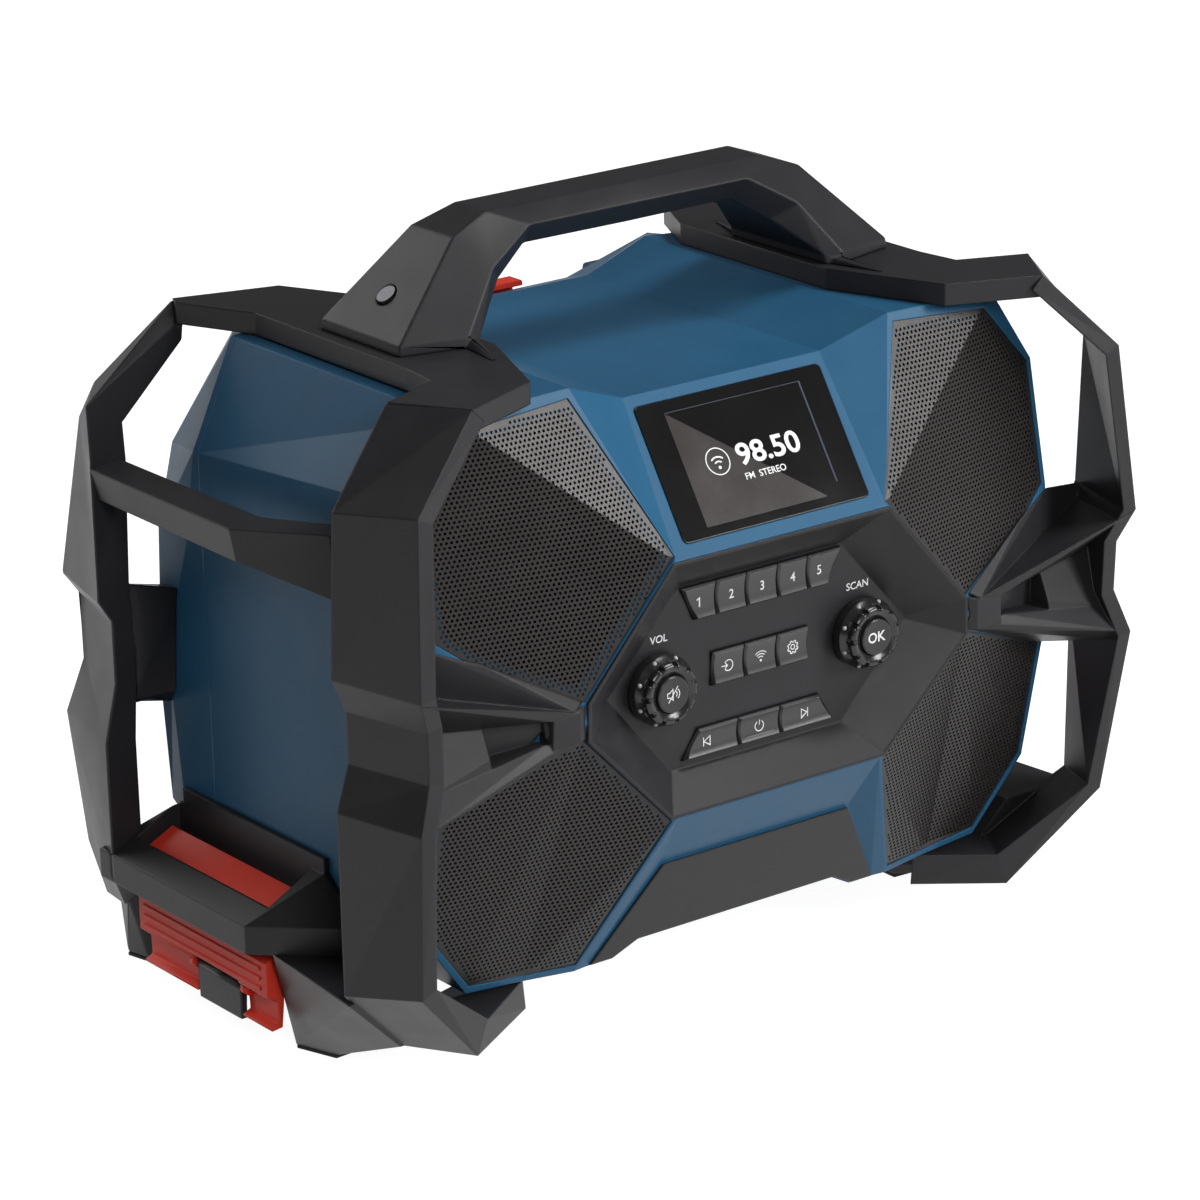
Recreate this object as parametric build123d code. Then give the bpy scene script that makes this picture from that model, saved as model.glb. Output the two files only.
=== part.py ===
"""Jobsite radio in a roll cage. Millimetres, +Z up, front towards -Y, origin under the middle on the floor."""
from build123d import *
import math
import os

os.makedirs("parts", exist_ok=True)

# ---------------------------------------------------------------- driving sizes
# body
body_half = 181.0             # half the width of the blue body
body_bottom = 39.8            # underside of the body
belly_rise = 7.2              # the middle of the underside is arched up by this
display_rise = 65.9           # height of the sloped display face above the control panel
roof_dip = 13.3               # the middle of the roof lies this much lower than the roof at the handle legs
split_y = 66.0                # joint between front and rear housing
rear_y = 109.0                # rear face of the body
shell_wall = 3.0              # side walls of both housings
front_wall = 4.0              # front wall, measured along Y
# grilles
grille_thickness = 1.2
grille_recess = 0.6           # the grille lies this far below the blue rim
grille_ledge = 5.0            # width of the ledge a grille rests on
fit_gap = 0.3                 # play round lids, keys and grilles
# speakers
baffle_y = -84.0              # front face of the speaker baffle
baffle_thickness = 6.0
woofer_radius = 47.0          # cone openings of the two upper speakers
tweeter_radius = 41.0         # cone openings of the two lower speakers
basket_flange = 4.0
basket_depth = 22.0
magnet_depth = 16.0
cone_wall = 2.0
surround_width = 8.0
# display and controls
lens_half = 54.2
lens_height = 66.4
lens_thickness = 2.0
bezel_rim = 1.6
knob_x = 60.2
knob_z = 177.9                # height of the knobs, in the middle of the control panel
panel_up = 65.4               # the panel reaches this far above the knobs
panel_down = 60.3             # and this far below them
floor_top = (knob_z + 46.1, -124.3)   # height and depth of the upper edge of the key floor
floor_low = (knob_z - 44.2, -119.9)   # height and depth of its lower edge
floor_thickness = 4.2
key_proud = 2.6
key_travel = 1.0
key_gap = 0.3
key_bevel = 1.0
key_wedge = 0.6               # the lower edge of a key stands this much prouder
knob_radius = 17.0
knob_face_radius = 14.3
knob_face_y = -135.6
cap_radius = 8.8
cap_travel = 1.2
# roll cage
cage_reach = 40.0             # the widest line of the cage lies this far outside the body
lobe_inset = 11.2             # the ridge of the corner lobes lies this far inside that line
plate_rise = 10.5             # the flat plates that carry the handle stand this far above the roof
strap_inner_y = 98.6          # the inner edges of the corner straps lie this far from the middle
rail_drop = 59.5              # the ridge of the upper side rail lies this far below the roof
tray_z = 70.0                 # ridge of the lower side rail
tray_low = 56.0               # underside of the lower side rail
tray_top = 97.0               # upper edge of its lip along the body
foot_pad = 2.0                # rubber under the feet
# handle
handle_rise = 53.0            # top of the handle above the plates
grip_height = 19.0
handle_y = -15.0              # the handle stands over the middle of the body, not of the cage
# latches
lever_front = -18.0
lever_length = 110.0
pin_radius = 2.0
pin_play = 0.06               # running fit of every shaft in its bore
hook_front = 8.0
hook_rear = 44.0
# rear
door_half = 76.0
door_low = 146.0
door_drop = 17.2              # the top of the door lies this far below the middle of the roof
door_thickness = 5.0
door_recess = 2.0             # the door seat lies this deep in the rear face
bay_depth = 30.0
bay_margin = 12.0             # the bay is this much smaller than its door at the bottom
pack_half = 38.0
pack_height = 66.0
pack_depth = 74.0
pack_low = 56.0
pack_play = 0.5
mast_radius = 2.6
mast_length = 132.0
mast_x = 89.0

panel_top = knob_z + panel_up
panel_low = knob_z - panel_down
roof_mid = panel_top + display_rise
roof_outer = roof_mid + roof_dip
belly = body_bottom + belly_rise
cage_half = body_half + cage_reach
lobe_half = cage_half - lobe_inset
plate_top = roof_outer + plate_rise
rail_z = roof_outer - rail_drop
handle_top = plate_top + handle_rise
grip_bottom = handle_top - grip_height
door_high = roof_mid - door_drop
lever_rear = lever_front + lever_length
through_front = (-170.0, -60.0)  # span along Y that cuts right through the front wall


# ---------------------------------------------------------------- helpers
def between(near, far):
    """Triangles between two rings. The second half is split the other way, so that it mirrors the first."""
    count = len(near)
    triangles = []
    for i in range(count):
        j = (i + 1) % count
        if i < count / 2:
            triangles += [[near[i], near[j], far[j]], [near[i], far[j], far[i]]]
        else:
            triangles += [[near[i], near[j], far[i]], [near[j], far[j], far[i]]]
    return [t for t in triangles if t[0] != t[1] and t[1] != t[2] and t[0] != t[2]]


def skin(outlines):
    """Closed solid through equal-count closed outlines. The two end outlines are flat."""
    faces = [Face(Wire.make_polygon(outlines[0])), Face(Wire.make_polygon(outlines[-1]))]
    for near, far in zip(outlines, outlines[1:]):
        faces += [Face(Wire.make_polygon(corners)) for corners in between(near, far)]
    return Solid(Shell(faces)).clean()


def strip(sections):
    """Closed solid through four-cornered sections that need not be flat."""
    faces = []
    for end in (sections[0], sections[-1]):
        faces.append(Face(Wire.make_polygon([end[0], end[1], end[2]])))
        faces.append(Face(Wire.make_polygon([end[0], end[2], end[3]])))
    for near, far in zip(sections, sections[1:]):
        for i in range(4):
            j = (i + 1) % 4
            faces.append(Face(Wire.make_polygon([near[i], near[j], far[j]])))
            faces.append(Face(Wire.make_polygon([near[i], far[j], far[i]])))
    return Solid(Shell(faces)).clean()


def hull(points):
    return ConvexPolyhedron(points=points)


def box(x0, x1, y0, y1, z0, z1):
    return Pos((x0 + x1) / 2, (y0 + y1) / 2, (z0 + z1) / 2) * Box(abs(x1 - x0), abs(y1 - y0), abs(z1 - z0))


def prism_y(outline, y0, y1):
    """Outline of (x, z) points, extruded from y0 to y1."""
    return skin([[(x, y0, z) for x, z in outline], [(x, y1, z) for x, z in outline]])


def rod(start, end, radius):
    axis = Vector(*end) - Vector(*start)
    return Plane(origin=start, z_dir=axis) * Cylinder(radius, axis.length,
                                                      align=(Align.CENTER, Align.CENTER, Align.MIN))


def both(shape):
    """The shape and its mirror image, as separate solids."""
    return Compound(children=shape.solids() + other_side(shape).solids())


def other_side(shape):
    return mirror(shape, about=Plane.YZ)


def grown(outline, distance):
    """Closed (x, z) outline moved outwards by a distance, inwards where it is negative."""
    area = sum(a[0] * b[1] - b[0] * a[1] for a, b in zip(outline, outline[1:] + outline[:1]))
    turn = 1.0 if area > 0 else -1.0
    moved = []
    for i, point in enumerate(outline):
        before = Vector(*point) - Vector(*outline[i - 1])
        after = Vector(*outline[(i + 1) % len(outline)]) - Vector(*point)
        normals = [Vector(v.Y, -v.X, 0).normalized() * turn for v in (before, after)]
        middle = (normals[0] + normals[1]).normalized()
        reach = distance / middle.dot(normals[0])
        moved.append((point[0] + middle.X * reach, point[1] + middle.Y * reach))
    return moved


def save(shape, name):
    export_step(shape, "parts/" + name + ".step")


# ---------------------------------------------------------------- body of the front housing
# Corners of the faceted front, right half: across, depth and height.
FRONT = {
    "roof_mid": (57.5, -98.1, roof_mid),
    "roof_rise": (92.8, -105.3, roof_outer),
    "roof_corner": (body_half - 24.0, -105.5, roof_outer - 1.5),
    "flank": (body_half, -106.5, roof_outer - 38.5),
    "side_up": (body_half, -118.0, knob_z + 45.1),
    "side_low": (body_half, -117.0, knob_z - 31.9),
    "side_foot": (body_half, -102.0, body_bottom + 40.2),
    "sole_out": (body_half - 27.5, -97.0, body_bottom + 4.0),
    "sole_mid": (123.0, -98.5, body_bottom + 2.2),
    "sole_in": (94.5, -100.5, body_bottom),
    "lobe_out": (86.3, -99.6, body_bottom),
    "lobe_in": (72.0, -99.6, body_bottom),
    "belly": (59.0, -102.4, belly),
    "notch": (61.7, -141.3, panel_top),
    "nose": (112.5, -140.0, knob_z),
    "chin": (60.7, -136.6, panel_low),
    "band": (56.2, -118.8, panel_low - 27.4),
}
RIM = ["roof_mid", "roof_rise", "roof_corner", "flank", "side_up", "side_low", "side_foot",
       "sole_out", "sole_mid", "sole_in", "lobe_out", "lobe_in", "belly"]
HALF_FACETS = [
    ("roof_mid", "roof_rise", "notch"), ("roof_rise", "roof_corner", "notch"),
    ("roof_corner", "flank", "notch"), ("flank", "side_up", "notch"),
    ("side_up", "nose", "notch"), ("side_up", "side_low", "nose"), ("side_low", "side_foot", "nose"),
    ("side_foot", "sole_out", "nose"), ("sole_out", "sole_mid", "nose"), ("sole_mid", "chin", "nose"),
    ("sole_mid", "sole_in", "chin"), ("sole_in", "lobe_out", "chin"), ("lobe_out", "band", "chin"),
    ("lobe_out", "lobe_in", "band"), ("lobe_in", "belly", "band"), ("notch", "nose", "chin"),
]
MIDDLE_FACETS = [("roof_mid", "notch"), ("notch", "chin"), ("chin", "band"), ("band", "belly")]
flank_back_z = roof_outer - 52.5   # the flank crease runs down towards the rear


def full_outline(half):
    """Mirror a right-hand run of (x, z) points into a closed outline."""
    return half + [(-x, z) for x, z in reversed(half)]


def rim_outline(inset):
    half = [(FRONT[name][0], FRONT[name][2]) for name in RIM]
    return grown(full_outline(half), -inset)


def back_outline(inset):
    half = [(FRONT[n][0], flank_back_z if n == "flank" else FRONT[n][2]) for n in RIM]
    return grown(full_outline(half), -inset)


def front_block(inset, depth, back):
    """The faceted front body, drawn in by inset at its sides, set back by depth, cut square at back."""
    rim = rim_outline(inset)
    rear = back_outline(inset)
    right, left = {}, {}
    for i, name in enumerate(RIM):
        y = FRONT[name][1] + depth
        right[name] = (rim[i][0], y, rim[i][1])
        left[name] = (-rim[i][0], y, rim[i][1])
    for name in ("notch", "nose", "chin", "band"):
        x, y, z = FRONT[name]
        right[name] = (x, y + depth, z)
        left[name] = (-x, y + depth, z)
    triangles = []
    for facet in HALF_FACETS:
        triangles.append([right[name] for name in facet])
        triangles.append([left[name] for name in facet])
    for upper, lower in MIDDLE_FACETS:
        triangles.append([right[upper], right[lower], left[lower]])
        triangles.append([right[upper], left[lower], left[upper]])
    ring = [right[name] for name in RIM] + [left[name] for name in reversed(RIM)]
    back_ring = [(x, back, z) for x, z in rear]
    triangles += between(ring, back_ring)
    faces = [Face(Wire.make_polygon(corners)) for corners in triangles]
    faces.append(Face(Wire.make_polygon(back_ring)))
    return Solid(Shell(faces)).clean()


# ---------------------------------------------------------------- grilles
UPPER_GRILLE = [(94.9, roof_outer - 4.5), (body_half - 31.1, roof_outer - 8.0),
                (body_half - 3, roof_outer - 39.5), (body_half - 3, knob_z + 46.6),
                (body_half - 21.0, knob_z + 32.7), (112.5, knob_z + 9.6), (61.9, panel_top + 2.0)]
LOWER_GRILLE = [(113.0, knob_z - 9.1), (body_half - 3, knob_z - 33.9), (body_half - 3, body_bottom + 42.2),
                (body_half - 28.8, body_bottom + 7.8), (94.6, body_bottom + 3.8), (63.0, panel_low - 0.6)]


def grille(outline):
    sheet = prism_y(outline, *through_front) & front_block(0, grille_recess, split_y)
    return (sheet - front_block(0, grille_recess + grille_thickness, split_y)).solids()[0]


def grille_seat(outline):
    """Everything in front of the ledge, plus the opening inside the ledge."""
    seat = prism_y(grown(outline, fit_gap), *through_front)
    seat -= front_block(0, grille_recess + grille_thickness, split_y)
    return seat + prism_y(grown(outline, -grille_ledge), *through_front)


# ---------------------------------------------------------------- display
display_plane = Plane(origin=(0, (FRONT["roof_mid"][1] + FRONT["notch"][1]) / 2 - 0.55,
                              (FRONT["roof_mid"][2] + FRONT["notch"][2]) / 2 + 0.9),
                      x_dir=(1, 0, 0),
                      z_dir=(0, FRONT["notch"][2] - FRONT["roof_mid"][2],
                             FRONT["roof_mid"][1] - FRONT["notch"][1]))


def on_display(width, height, radius, top, bottom):
    """Rounded plate in the display plane, from top to bottom measured along its normal."""
    plate = extrude(RectangleRounded(width, height, radius), top - bottom)
    return display_plane * Pos(0, 0, bottom) * plate


lens_top = -0.4
display_lens = on_display(2 * lens_half, lens_height, 2.5, lens_top, lens_top - lens_thickness)
lens_pocket = on_display(2 * lens_half + 2 * fit_gap, lens_height + 2 * fit_gap, 2.8, 6,
                         lens_top - lens_thickness)
display_window = on_display(2 * lens_half - 8, lens_height - 8, 2, 6, -20)
display_module = on_display(2 * lens_half - 10, lens_height - 10, 1, lens_top - lens_thickness,
                            lens_top - lens_thickness - 8)


# ---------------------------------------------------------------- control bezel
def floor_y(z):
    """Depth of the key floor at a height."""
    share = (z - floor_low[0]) / (floor_top[0] - floor_low[0])
    return floor_low[1] + share * (floor_top[1] - floor_low[1])


bezel_half = [(63.4, panel_top - 0.7, -141.6), (112.0, knob_z + 9.0, -140.6), (112.4, knob_z - 9.2, -140.4),
              (63.7, panel_low + 0.7, -136.9)]
bezel_outline = full_outline([(x, z) for x, z, y in bezel_half])
bezel_back = floor_y(knob_z) + floor_thickness
bezel_front = [(x, y, z) for x, z, y in bezel_half] + [(-x, y, z) for x, z, y in reversed(bezel_half)]
floor_half = [(47.5, floor_top[0]), (87.8, knob_z + 0.4), (87.8, knob_z - 0.4), (50.3, floor_low[0])]
floor_outline = full_outline(floor_half)
rim_inner = grown(bezel_outline, -bezel_rim)
dish_mouth = [(x, bezel_front[i][1], z) for i, (x, z) in enumerate(rim_inner)]
dish_floor = [(x, floor_y(z), z) for x, z in floor_outline]
dish = hull(dish_mouth + dish_floor) + hull(dish_mouth + [(x, -165, z) for x, y, z in dish_mouth])
bezel_block = hull(bezel_front + [(x, bezel_back, z) for x, z in bezel_outline])

# keys: name, outline of (x, z) corners
row1_x = [-47.5, -27.0, -9.2, 9.2, 27.0, 47.5]
row1_z = (knob_z + 27.9, knob_z + 45.1)
row2_x = [-28.6, -9.6, 9.6, 28.6]
row2_z = (knob_z - 6.9, knob_z + 9.9)
row3_x = [-36.0, -12.4, 12.4, 36.0]
row3_z = (knob_z - 40.5, knob_z - 26.1)
keys = {}
for i in range(5):
    x0, x1 = row1_x[i], row1_x[i + 1]
    lean0 = 8.5 if i == 0 else 0.0
    lean1 = 8.5 if i == 4 else 0.0
    keys["key_%d" % (i + 1)] = [(x0, row1_z[1]), (x1, row1_z[1]), (x1 - lean1, row1_z[0]),
                                (x0 + lean0, row1_z[0])]
for i, name in enumerate(["key_source", "key_wireless", "key_settings"]):
    x0, x1 = row2_x[i], row2_x[i + 1]
    keys[name] = [(x0, row2_z[1]), (x1, row2_z[1]), (x1, row2_z[0]), (x0, row2_z[0])]
for i, name in enumerate(["key_previous", "key_power", "key_next"]):
    x0, x1 = row3_x[i], row3_x[i + 1]
    lean0 = 9.0 if i == 0 else 0.0
    lean1 = 9.0 if i == 2 else 0.0
    keys[name] = [(x0, row3_z[1]), (x1, row3_z[1]), (x1 + lean1, row3_z[0]), (x0 - lean0, row3_z[0])]

key_back = bezel_back - 0.2
control_bezel = bezel_block - dish
key_solids = {}
for name, outline in keys.items():
    side = grown(outline, -key_gap)
    crown = grown(side, -key_bevel)
    low_edge = min(z for x, z in crown)
    corners = [(x, key_back, z) for x, z in side]
    corners += [(x, floor_y(z) - key_proud + key_bevel, z) for x, z in side]
    for x, z in crown:
        lift = key_wedge if z < low_edge + key_bevel else 0.0
        corners.append((x, floor_y(z) - key_proud - lift, z))
    key_solids[name] = hull(corners)
    control_bezel -= prism_y(outline, *through_front)

# knobs
knobs = {}
well_radius = knob_radius + 4.0
shaft_radius = 3.0
knob_floor = floor_y(knob_z)
knob_back = floor_y(knob_z + knob_radius) - fit_gap
for side, sign in (("left", -1), ("right", 1)):
    centre = sign * knob_x
    body = rod((centre, knob_back, knob_z), (centre, knob_floor - 6.5, knob_z), knob_radius)
    flutes = 16
    for i in range(flutes):
        angle = 2 * math.pi * i / flutes
        at = (centre + knob_radius * math.cos(angle), knob_z + knob_radius * math.sin(angle))
        body -= rod((at[0], knob_floor, at[1]), (at[0], knob_floor - 8, at[1]), 1.5)
    top = Plane(origin=(centre, knob_floor - 6.5, knob_z), z_dir=(0, -1, 0)) * Cone(
        knob_radius - 1.4, knob_face_radius, knob_floor - 6.5 - knob_face_y,
        align=(Align.CENTER, Align.CENTER, Align.MIN))
    knob = body + top
    bore_bottom = knob_face_y + 5.0
    knob -= rod((centre, bore_bottom, knob_z), (centre, knob_face_y - 5, knob_z), cap_radius + key_gap)
    knob -= rod((centre, knob_floor + 5, knob_z), (centre, bore_bottom + 1.5, knob_z), shaft_radius + pin_play)
    cap = rod((centre, bore_bottom - cap_travel - 0.3, knob_z), (centre, knob_face_y - 0.4, knob_z), cap_radius)
    knobs[side] = (knob, cap)
    control_bezel -= rod((centre, -160, knob_z), (centre, -100, knob_z), shaft_radius + 2)

board_y = bezel_back + 1.6
pad_outline = full_outline([(50.0, floor_top[0] + 2.0), (52.0, floor_low[0] + 1.3)])
keypad_membrane = prism_y(pad_outline, bezel_back, board_y)
for name, outline in keys.items():
    keypad_membrane -= prism_y(outline, bezel_back - 1, bezel_back + key_travel + 0.1)
control_board = prism_y(full_outline([(56.0, knob_z + 48.1), (80.0, knob_z + 17.1), (80.0, knob_z - 17.9),
                                      (56.0, knob_z - 44.9)]), board_y, board_y + 1.6)
encoder_half = 6.5
encoders = []
for sign in (-1, 1):
    centre = sign * knob_x
    case = box(centre - encoder_half, centre + encoder_half, bezel_back, board_y, knob_z - encoder_half,
               knob_z + encoder_half)
    shaft = rod((centre, board_y, knob_z), (centre, knob_face_y + 6.8, knob_z), shaft_radius)
    encoders += (case + shaft).solids()
    keypad_membrane -= box(centre - 7, centre + 7, bezel_back - 1, board_y + 1, knob_z - 7, knob_z + 7)
rotary_encoders = Compound(children=encoders)

# ---------------------------------------------------------------- bumper panel below the band
bumper_outline = full_outline([(55.6, panel_low - 28.8), (85.4, body_bottom + 0.6),
                               (72.4, body_bottom + 0.6), (59.4, belly + 0.6)])
bumper_proud = 1.5
bumper_panel = (prism_y(bumper_outline, *through_front) & front_block(0, -bumper_proud, split_y)) \
    - front_block(0, 0, split_y)
bumper_panel = bumper_panel.solids()[0]

# ---------------------------------------------------------------- housings
front_solid = front_block(0, 0, split_y)
front_housing = front_solid - front_block(shell_wall, front_wall, split_y)
for outline in (UPPER_GRILLE, LOWER_GRILLE):
    seat = grille_seat(outline)
    front_housing = front_housing - seat - other_side(seat)
front_housing = front_housing - lens_pocket - display_window - prism_y(bezel_outline, *through_front)
front_housing = max(front_housing.solids(), key=lambda s: s.volume)

# How the rear face steps in from the outline at the split, in the order of RIM:
# across, up, and how far in front of the rear face the slope starts.
REAR_STEP = [(8.5, -8.7, 29.0), (24.2, -8.0, 29.0), (-26.0, -10.0, 39.0), (-13.0, -7.0, 39.0),
             (-3.0, 0.0, 29.0), (0.0, -6.0, 9.0), (-3.0, 5.0, 17.0), (-7.5, 6.0, 14.0), (0.0, 4.0, 14.0),
             (0.0, 3.2, 14.0), (0.0, 3.2, 14.0), (0.0, 3.2, 14.0), (0.0, 1.0, 14.0)]


def rear_block(inset, back):
    """Rear body from the split to its sloped rear edge, drawn in by inset, cut square at back."""
    half = back_outline(0)[:len(RIM)]
    end = grown(full_outline([(x + dx, z + dz) for (x, z), (dx, dz, run) in zip(half, REAR_STEP)]), -inset)
    start = back_outline(inset)
    slopes = [rear_y - run for dx, dz, run in REAR_STEP]
    slopes += slopes[::-1]
    split = [(x, split_y, z) for x, z in start]
    ridge = [(x, slopes[i], z) for i, (x, z) in enumerate(start)]
    rear = [(x, back, z) for x, z in end]
    return skin([split, ridge, rear])


seat_y = rear_y - door_recess
rear_solid = rear_block(0, rear_y)
bay_x = door_half - 8
bay_low = door_low + bay_margin
bay_high = door_high - bay_margin - 2
bay = box(-bay_x, bay_x, rear_y - bay_depth, rear_y + 5, bay_low, bay_high)
bay_wall = box(-bay_x - shell_wall, bay_x + shell_wall, rear_y - bay_depth - shell_wall, rear_y - 1,
               bay_low - shell_wall, bay_high + shell_wall)
room_front = rear_y - pack_depth + 2
pack_top = pack_low + pack_height
room_x = pack_half + pack_play
room_low = pack_low - fit_gap
room_high = pack_top + pack_play
pack_room = box(-room_x, room_x, room_front, rear_y + 20, room_low, room_high)
pack_wall = box(-room_x - shell_wall, room_x + shell_wall, room_front - shell_wall, rear_y - 1,
                room_low - shell_wall, room_high + shell_wall)
rear_housing = rear_solid - rear_block(shell_wall, rear_y - shell_wall) + bay_wall + pack_wall

# door at the back, on a pin along its lower edge
hinge_y = seat_y + 5.0
hinge_z = door_low - 5.0
hinge_radius = 4.0
lug_inner = door_half - 10
door_seat = box(-door_half - fit_gap, door_half + fit_gap, seat_y, rear_y + 30, hinge_z - hinge_radius - 0.6,
                door_high + fit_gap)
rear_housing = rear_housing - bay - pack_room - door_seat
hinge_pin_hole = rod((-200, hinge_y, hinge_z), (200, hinge_y, hinge_z), pin_radius + pin_play)
for sign in (-1, 1):
    lug = box(sign * lug_inner, sign * door_half, seat_y - 1, hinge_y, hinge_z - hinge_radius,
              hinge_z + hinge_radius)
    lug += rod((sign * lug_inner, hinge_y, hinge_z), (sign * door_half, hinge_y, hinge_z), hinge_radius)
    rear_housing += lug
door_front = seat_y + fit_gap
door_back = door_front + door_thickness
rear_door = box(-door_half, door_half, door_front, door_back, door_low, door_high)
rear_door = fillet(rear_door.edges().filter_by(Axis.Y).group_by(Axis.Z)[-1], 6)
web_half = lug_inner - fit_gap
rear_door += box(-web_half, web_half, hinge_y - 2, door_back, hinge_z, door_low + 1)
rear_door += rod((-web_half, hinge_y, hinge_z), (web_half, hinge_y, hinge_z), hinge_radius)
grip_rib = 1.2
for i in range(5):
    rib_z = door_low + 34 + 20 * i
    rear_door += box(-door_half + 14, door_half - 14, door_back, door_back + grip_rib, rib_z - 2, rib_z + 2)
rear_door -= hinge_pin_hole
rear_housing -= hinge_pin_hole
door_hinge_pin = rod((-door_half, hinge_y, hinge_z), (door_half, hinge_y, hinge_z), pin_radius)

# red latch that hooks over the rear edge of the roof
latch_half = 36.0
latch_y = door_back + 2.9
latch_z = door_high - 3.5
latch_barrel = 2.5
stub_radius = 1.4
stub_length = 4.0
ear_radius = 2.8
lip_low = roof_mid - 6.5
lip_top = roof_mid - 3.9
door_latch = box(-latch_half, latch_half, door_back + 0.8, latch_y + 1.5, latch_z, lip_top)
door_latch += box(-latch_half, latch_half, rear_y - 4, latch_y + 1.5, lip_low, lip_top)
door_latch = fillet(door_latch.edges().filter_by(Axis.X).group_by(Axis.Z)[-1], 1.2)
door_latch += rod((-latch_half, latch_y, latch_z), (latch_half, latch_y, latch_z), latch_barrel)
stub_end = latch_half + stub_length
door_latch += rod((-stub_end, latch_y, latch_z), (stub_end, latch_y, latch_z), stub_radius)
for sign in (-1, 1):
    near = sign * (latch_half + fit_gap)
    far = sign * (stub_end + 1)
    rear_door += box(near, far, door_back - 1, latch_y, latch_z - ear_radius, latch_z + ear_radius)
    rear_door += rod((near, latch_y, latch_z), (far, latch_y, latch_z), ear_radius)
rear_door -= rod((-stub_end - 0.3, latch_y, latch_z), (stub_end + 0.3, latch_y, latch_z), stub_radius + pin_play)

# battery pack and the contact block it slides onto
blade_x = 9.5
dock_y = room_front + 3.5
dock_half = 24.0
dock_low = pack_low + 16.0
dock_high = dock_low + 34.0
blade_low = dock_low + 8.0
blade_high = dock_high - 8.0
blade_length = 9.0
battery_dock = box(-dock_half, dock_half, room_front, dock_y, dock_low, dock_high)
for sign in (-1, 1):
    battery_dock += box(sign * (blade_x - 0.5), sign * (blade_x + 0.5), dock_y, dock_y + blade_length, blade_low,
                        blade_high)
pack_front = room_front + 0.5
pack_back = rear_y + 3.0
battery_pack = box(-pack_half, pack_half, pack_front, pack_back, pack_low, pack_top)
battery_pack = fillet(battery_pack.edges().filter_by(Axis.Y), 3)
battery_pack -= box(-dock_half - 0.6, dock_half + 0.6, pack_front - 1, dock_y + 0.5, dock_low - 0.6,
                    dock_high + 0.6)
for sign in (-1, 1):
    battery_pack -= box(sign * (blade_x - 1.1), sign * (blade_x + 1.1), pack_front, dock_y + blade_length + 1,
                        blade_low - 0.6, blade_high + 0.6)
for i in range(3):
    groove_z = pack_low + 26 + 6 * i
    battery_pack -= box(-22, 22, pack_back - 1.5, pack_back + 1, groove_z - 1.5, groove_z + 1.5)

# folding antenna beside the door
mast_y = rear_y + 7.0
mast_z = roof_outer - 22.5
base_radius = 3.5
base_half = 3.0
lug_width = 2.2
axle_radius = 1.5
axle_half = base_half + lug_width
mast_end = mast_z - mast_length
antenna = rod((mast_x, mast_y, mast_z), (mast_x, mast_y, mast_end), mast_radius)
antenna += rod((mast_x, mast_y, mast_end), (mast_x, mast_y, mast_end - 4), mast_radius + 0.7)
antenna += rod((mast_x - base_half, mast_y, mast_z), (mast_x + base_half, mast_y, mast_z), base_radius)
antenna += rod((mast_x - axle_half, mast_y, mast_z), (mast_x + axle_half, mast_y, mast_z), axle_radius)
for sign in (-1, 1):
    near = mast_x + sign * (base_half + 0.1)
    far = mast_x + sign * axle_half
    rear_housing += box(near, far, rear_y - 3, mast_y, mast_z - base_radius, mast_z + base_radius)
    rear_housing += rod((near, mast_y, mast_z), (far, mast_y, mast_z), base_radius)
rear_housing -= rod((mast_x - 8, mast_y, mast_z), (mast_x + 8, mast_y, mast_z), axle_radius + pin_play)
clip_z = mast_end + 22
clip_reach = mast_radius + fit_gap
clip_outer = clip_reach + 1.6
clip = box(mast_x - clip_outer, mast_x + clip_outer, rear_y - 1, mast_y + 1, clip_z - 4, clip_z + 4)
clip -= box(mast_x - clip_reach, mast_x + clip_reach, mast_y - clip_reach, mast_y + 5, clip_z - 5, clip_z + 5)
rear_housing += clip
rear_housing = max(rear_housing.solids(), key=lambda s: s.volume)

# ---------------------------------------------------------------- baffle and speakers
speaker_spots = [(side * x, z, r) for x, z, r in ((body_half - 60.0, knob_z + 80.1, woofer_radius),
                                                  (body_half - 59.0, body_bottom + 64.2, tweeter_radius))
                 for side in (-1, 1)]
baffle = prism_y(back_outline(shell_wall + fit_gap), baffle_y, baffle_y + baffle_thickness)
baskets = []
cones = []
low = (Align.CENTER, Align.CENTER, Align.MIN)
for x, z, r in speaker_spots:
    spot = Plane(origin=(x, baffle_y + baffle_thickness, z), z_dir=(0, 1, 0))
    baffle -= rod((x, baffle_y - 1, z), (x, baffle_y + baffle_thickness + 1, z), r)
    basket_end = basket_flange + basket_depth
    basket = spot * Cylinder(r + 5, basket_flange, align=low)
    basket += spot * Pos(0, 0, basket_flange) * Cone(r + 1, 0.5 * r, basket_depth, align=low)
    basket += spot * Pos(0, 0, basket_end) * Cylinder(0.55 * r, magnet_depth, align=low)
    basket -= spot * Pos(0, 0, -0.01) * Cone(r - 2, 0.42 * r, basket_end - 2, align=low)
    rim_radius = r - 2.4
    coil_radius = 0.42 * r - 0.4
    cone = spot * Cone(rim_radius, coil_radius, basket_end - 2.4, align=low)
    cone -= spot * Pos(0, 0, -0.01) * Cone(rim_radius - cone_wall, coil_radius - cone_wall, basket_end - 3.6, align=low)
    surround = Cylinder(r - 1.0, 4, align=low) - Cylinder(r - 1.0 - surround_width, 4, align=low)
    baskets += basket.solids()
    cones += (cone + spot * Pos(0, 0, -4) * surround).solids()
speaker_baskets = Compound(children=baskets)
speaker_cones = Compound(children=cones)

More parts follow.
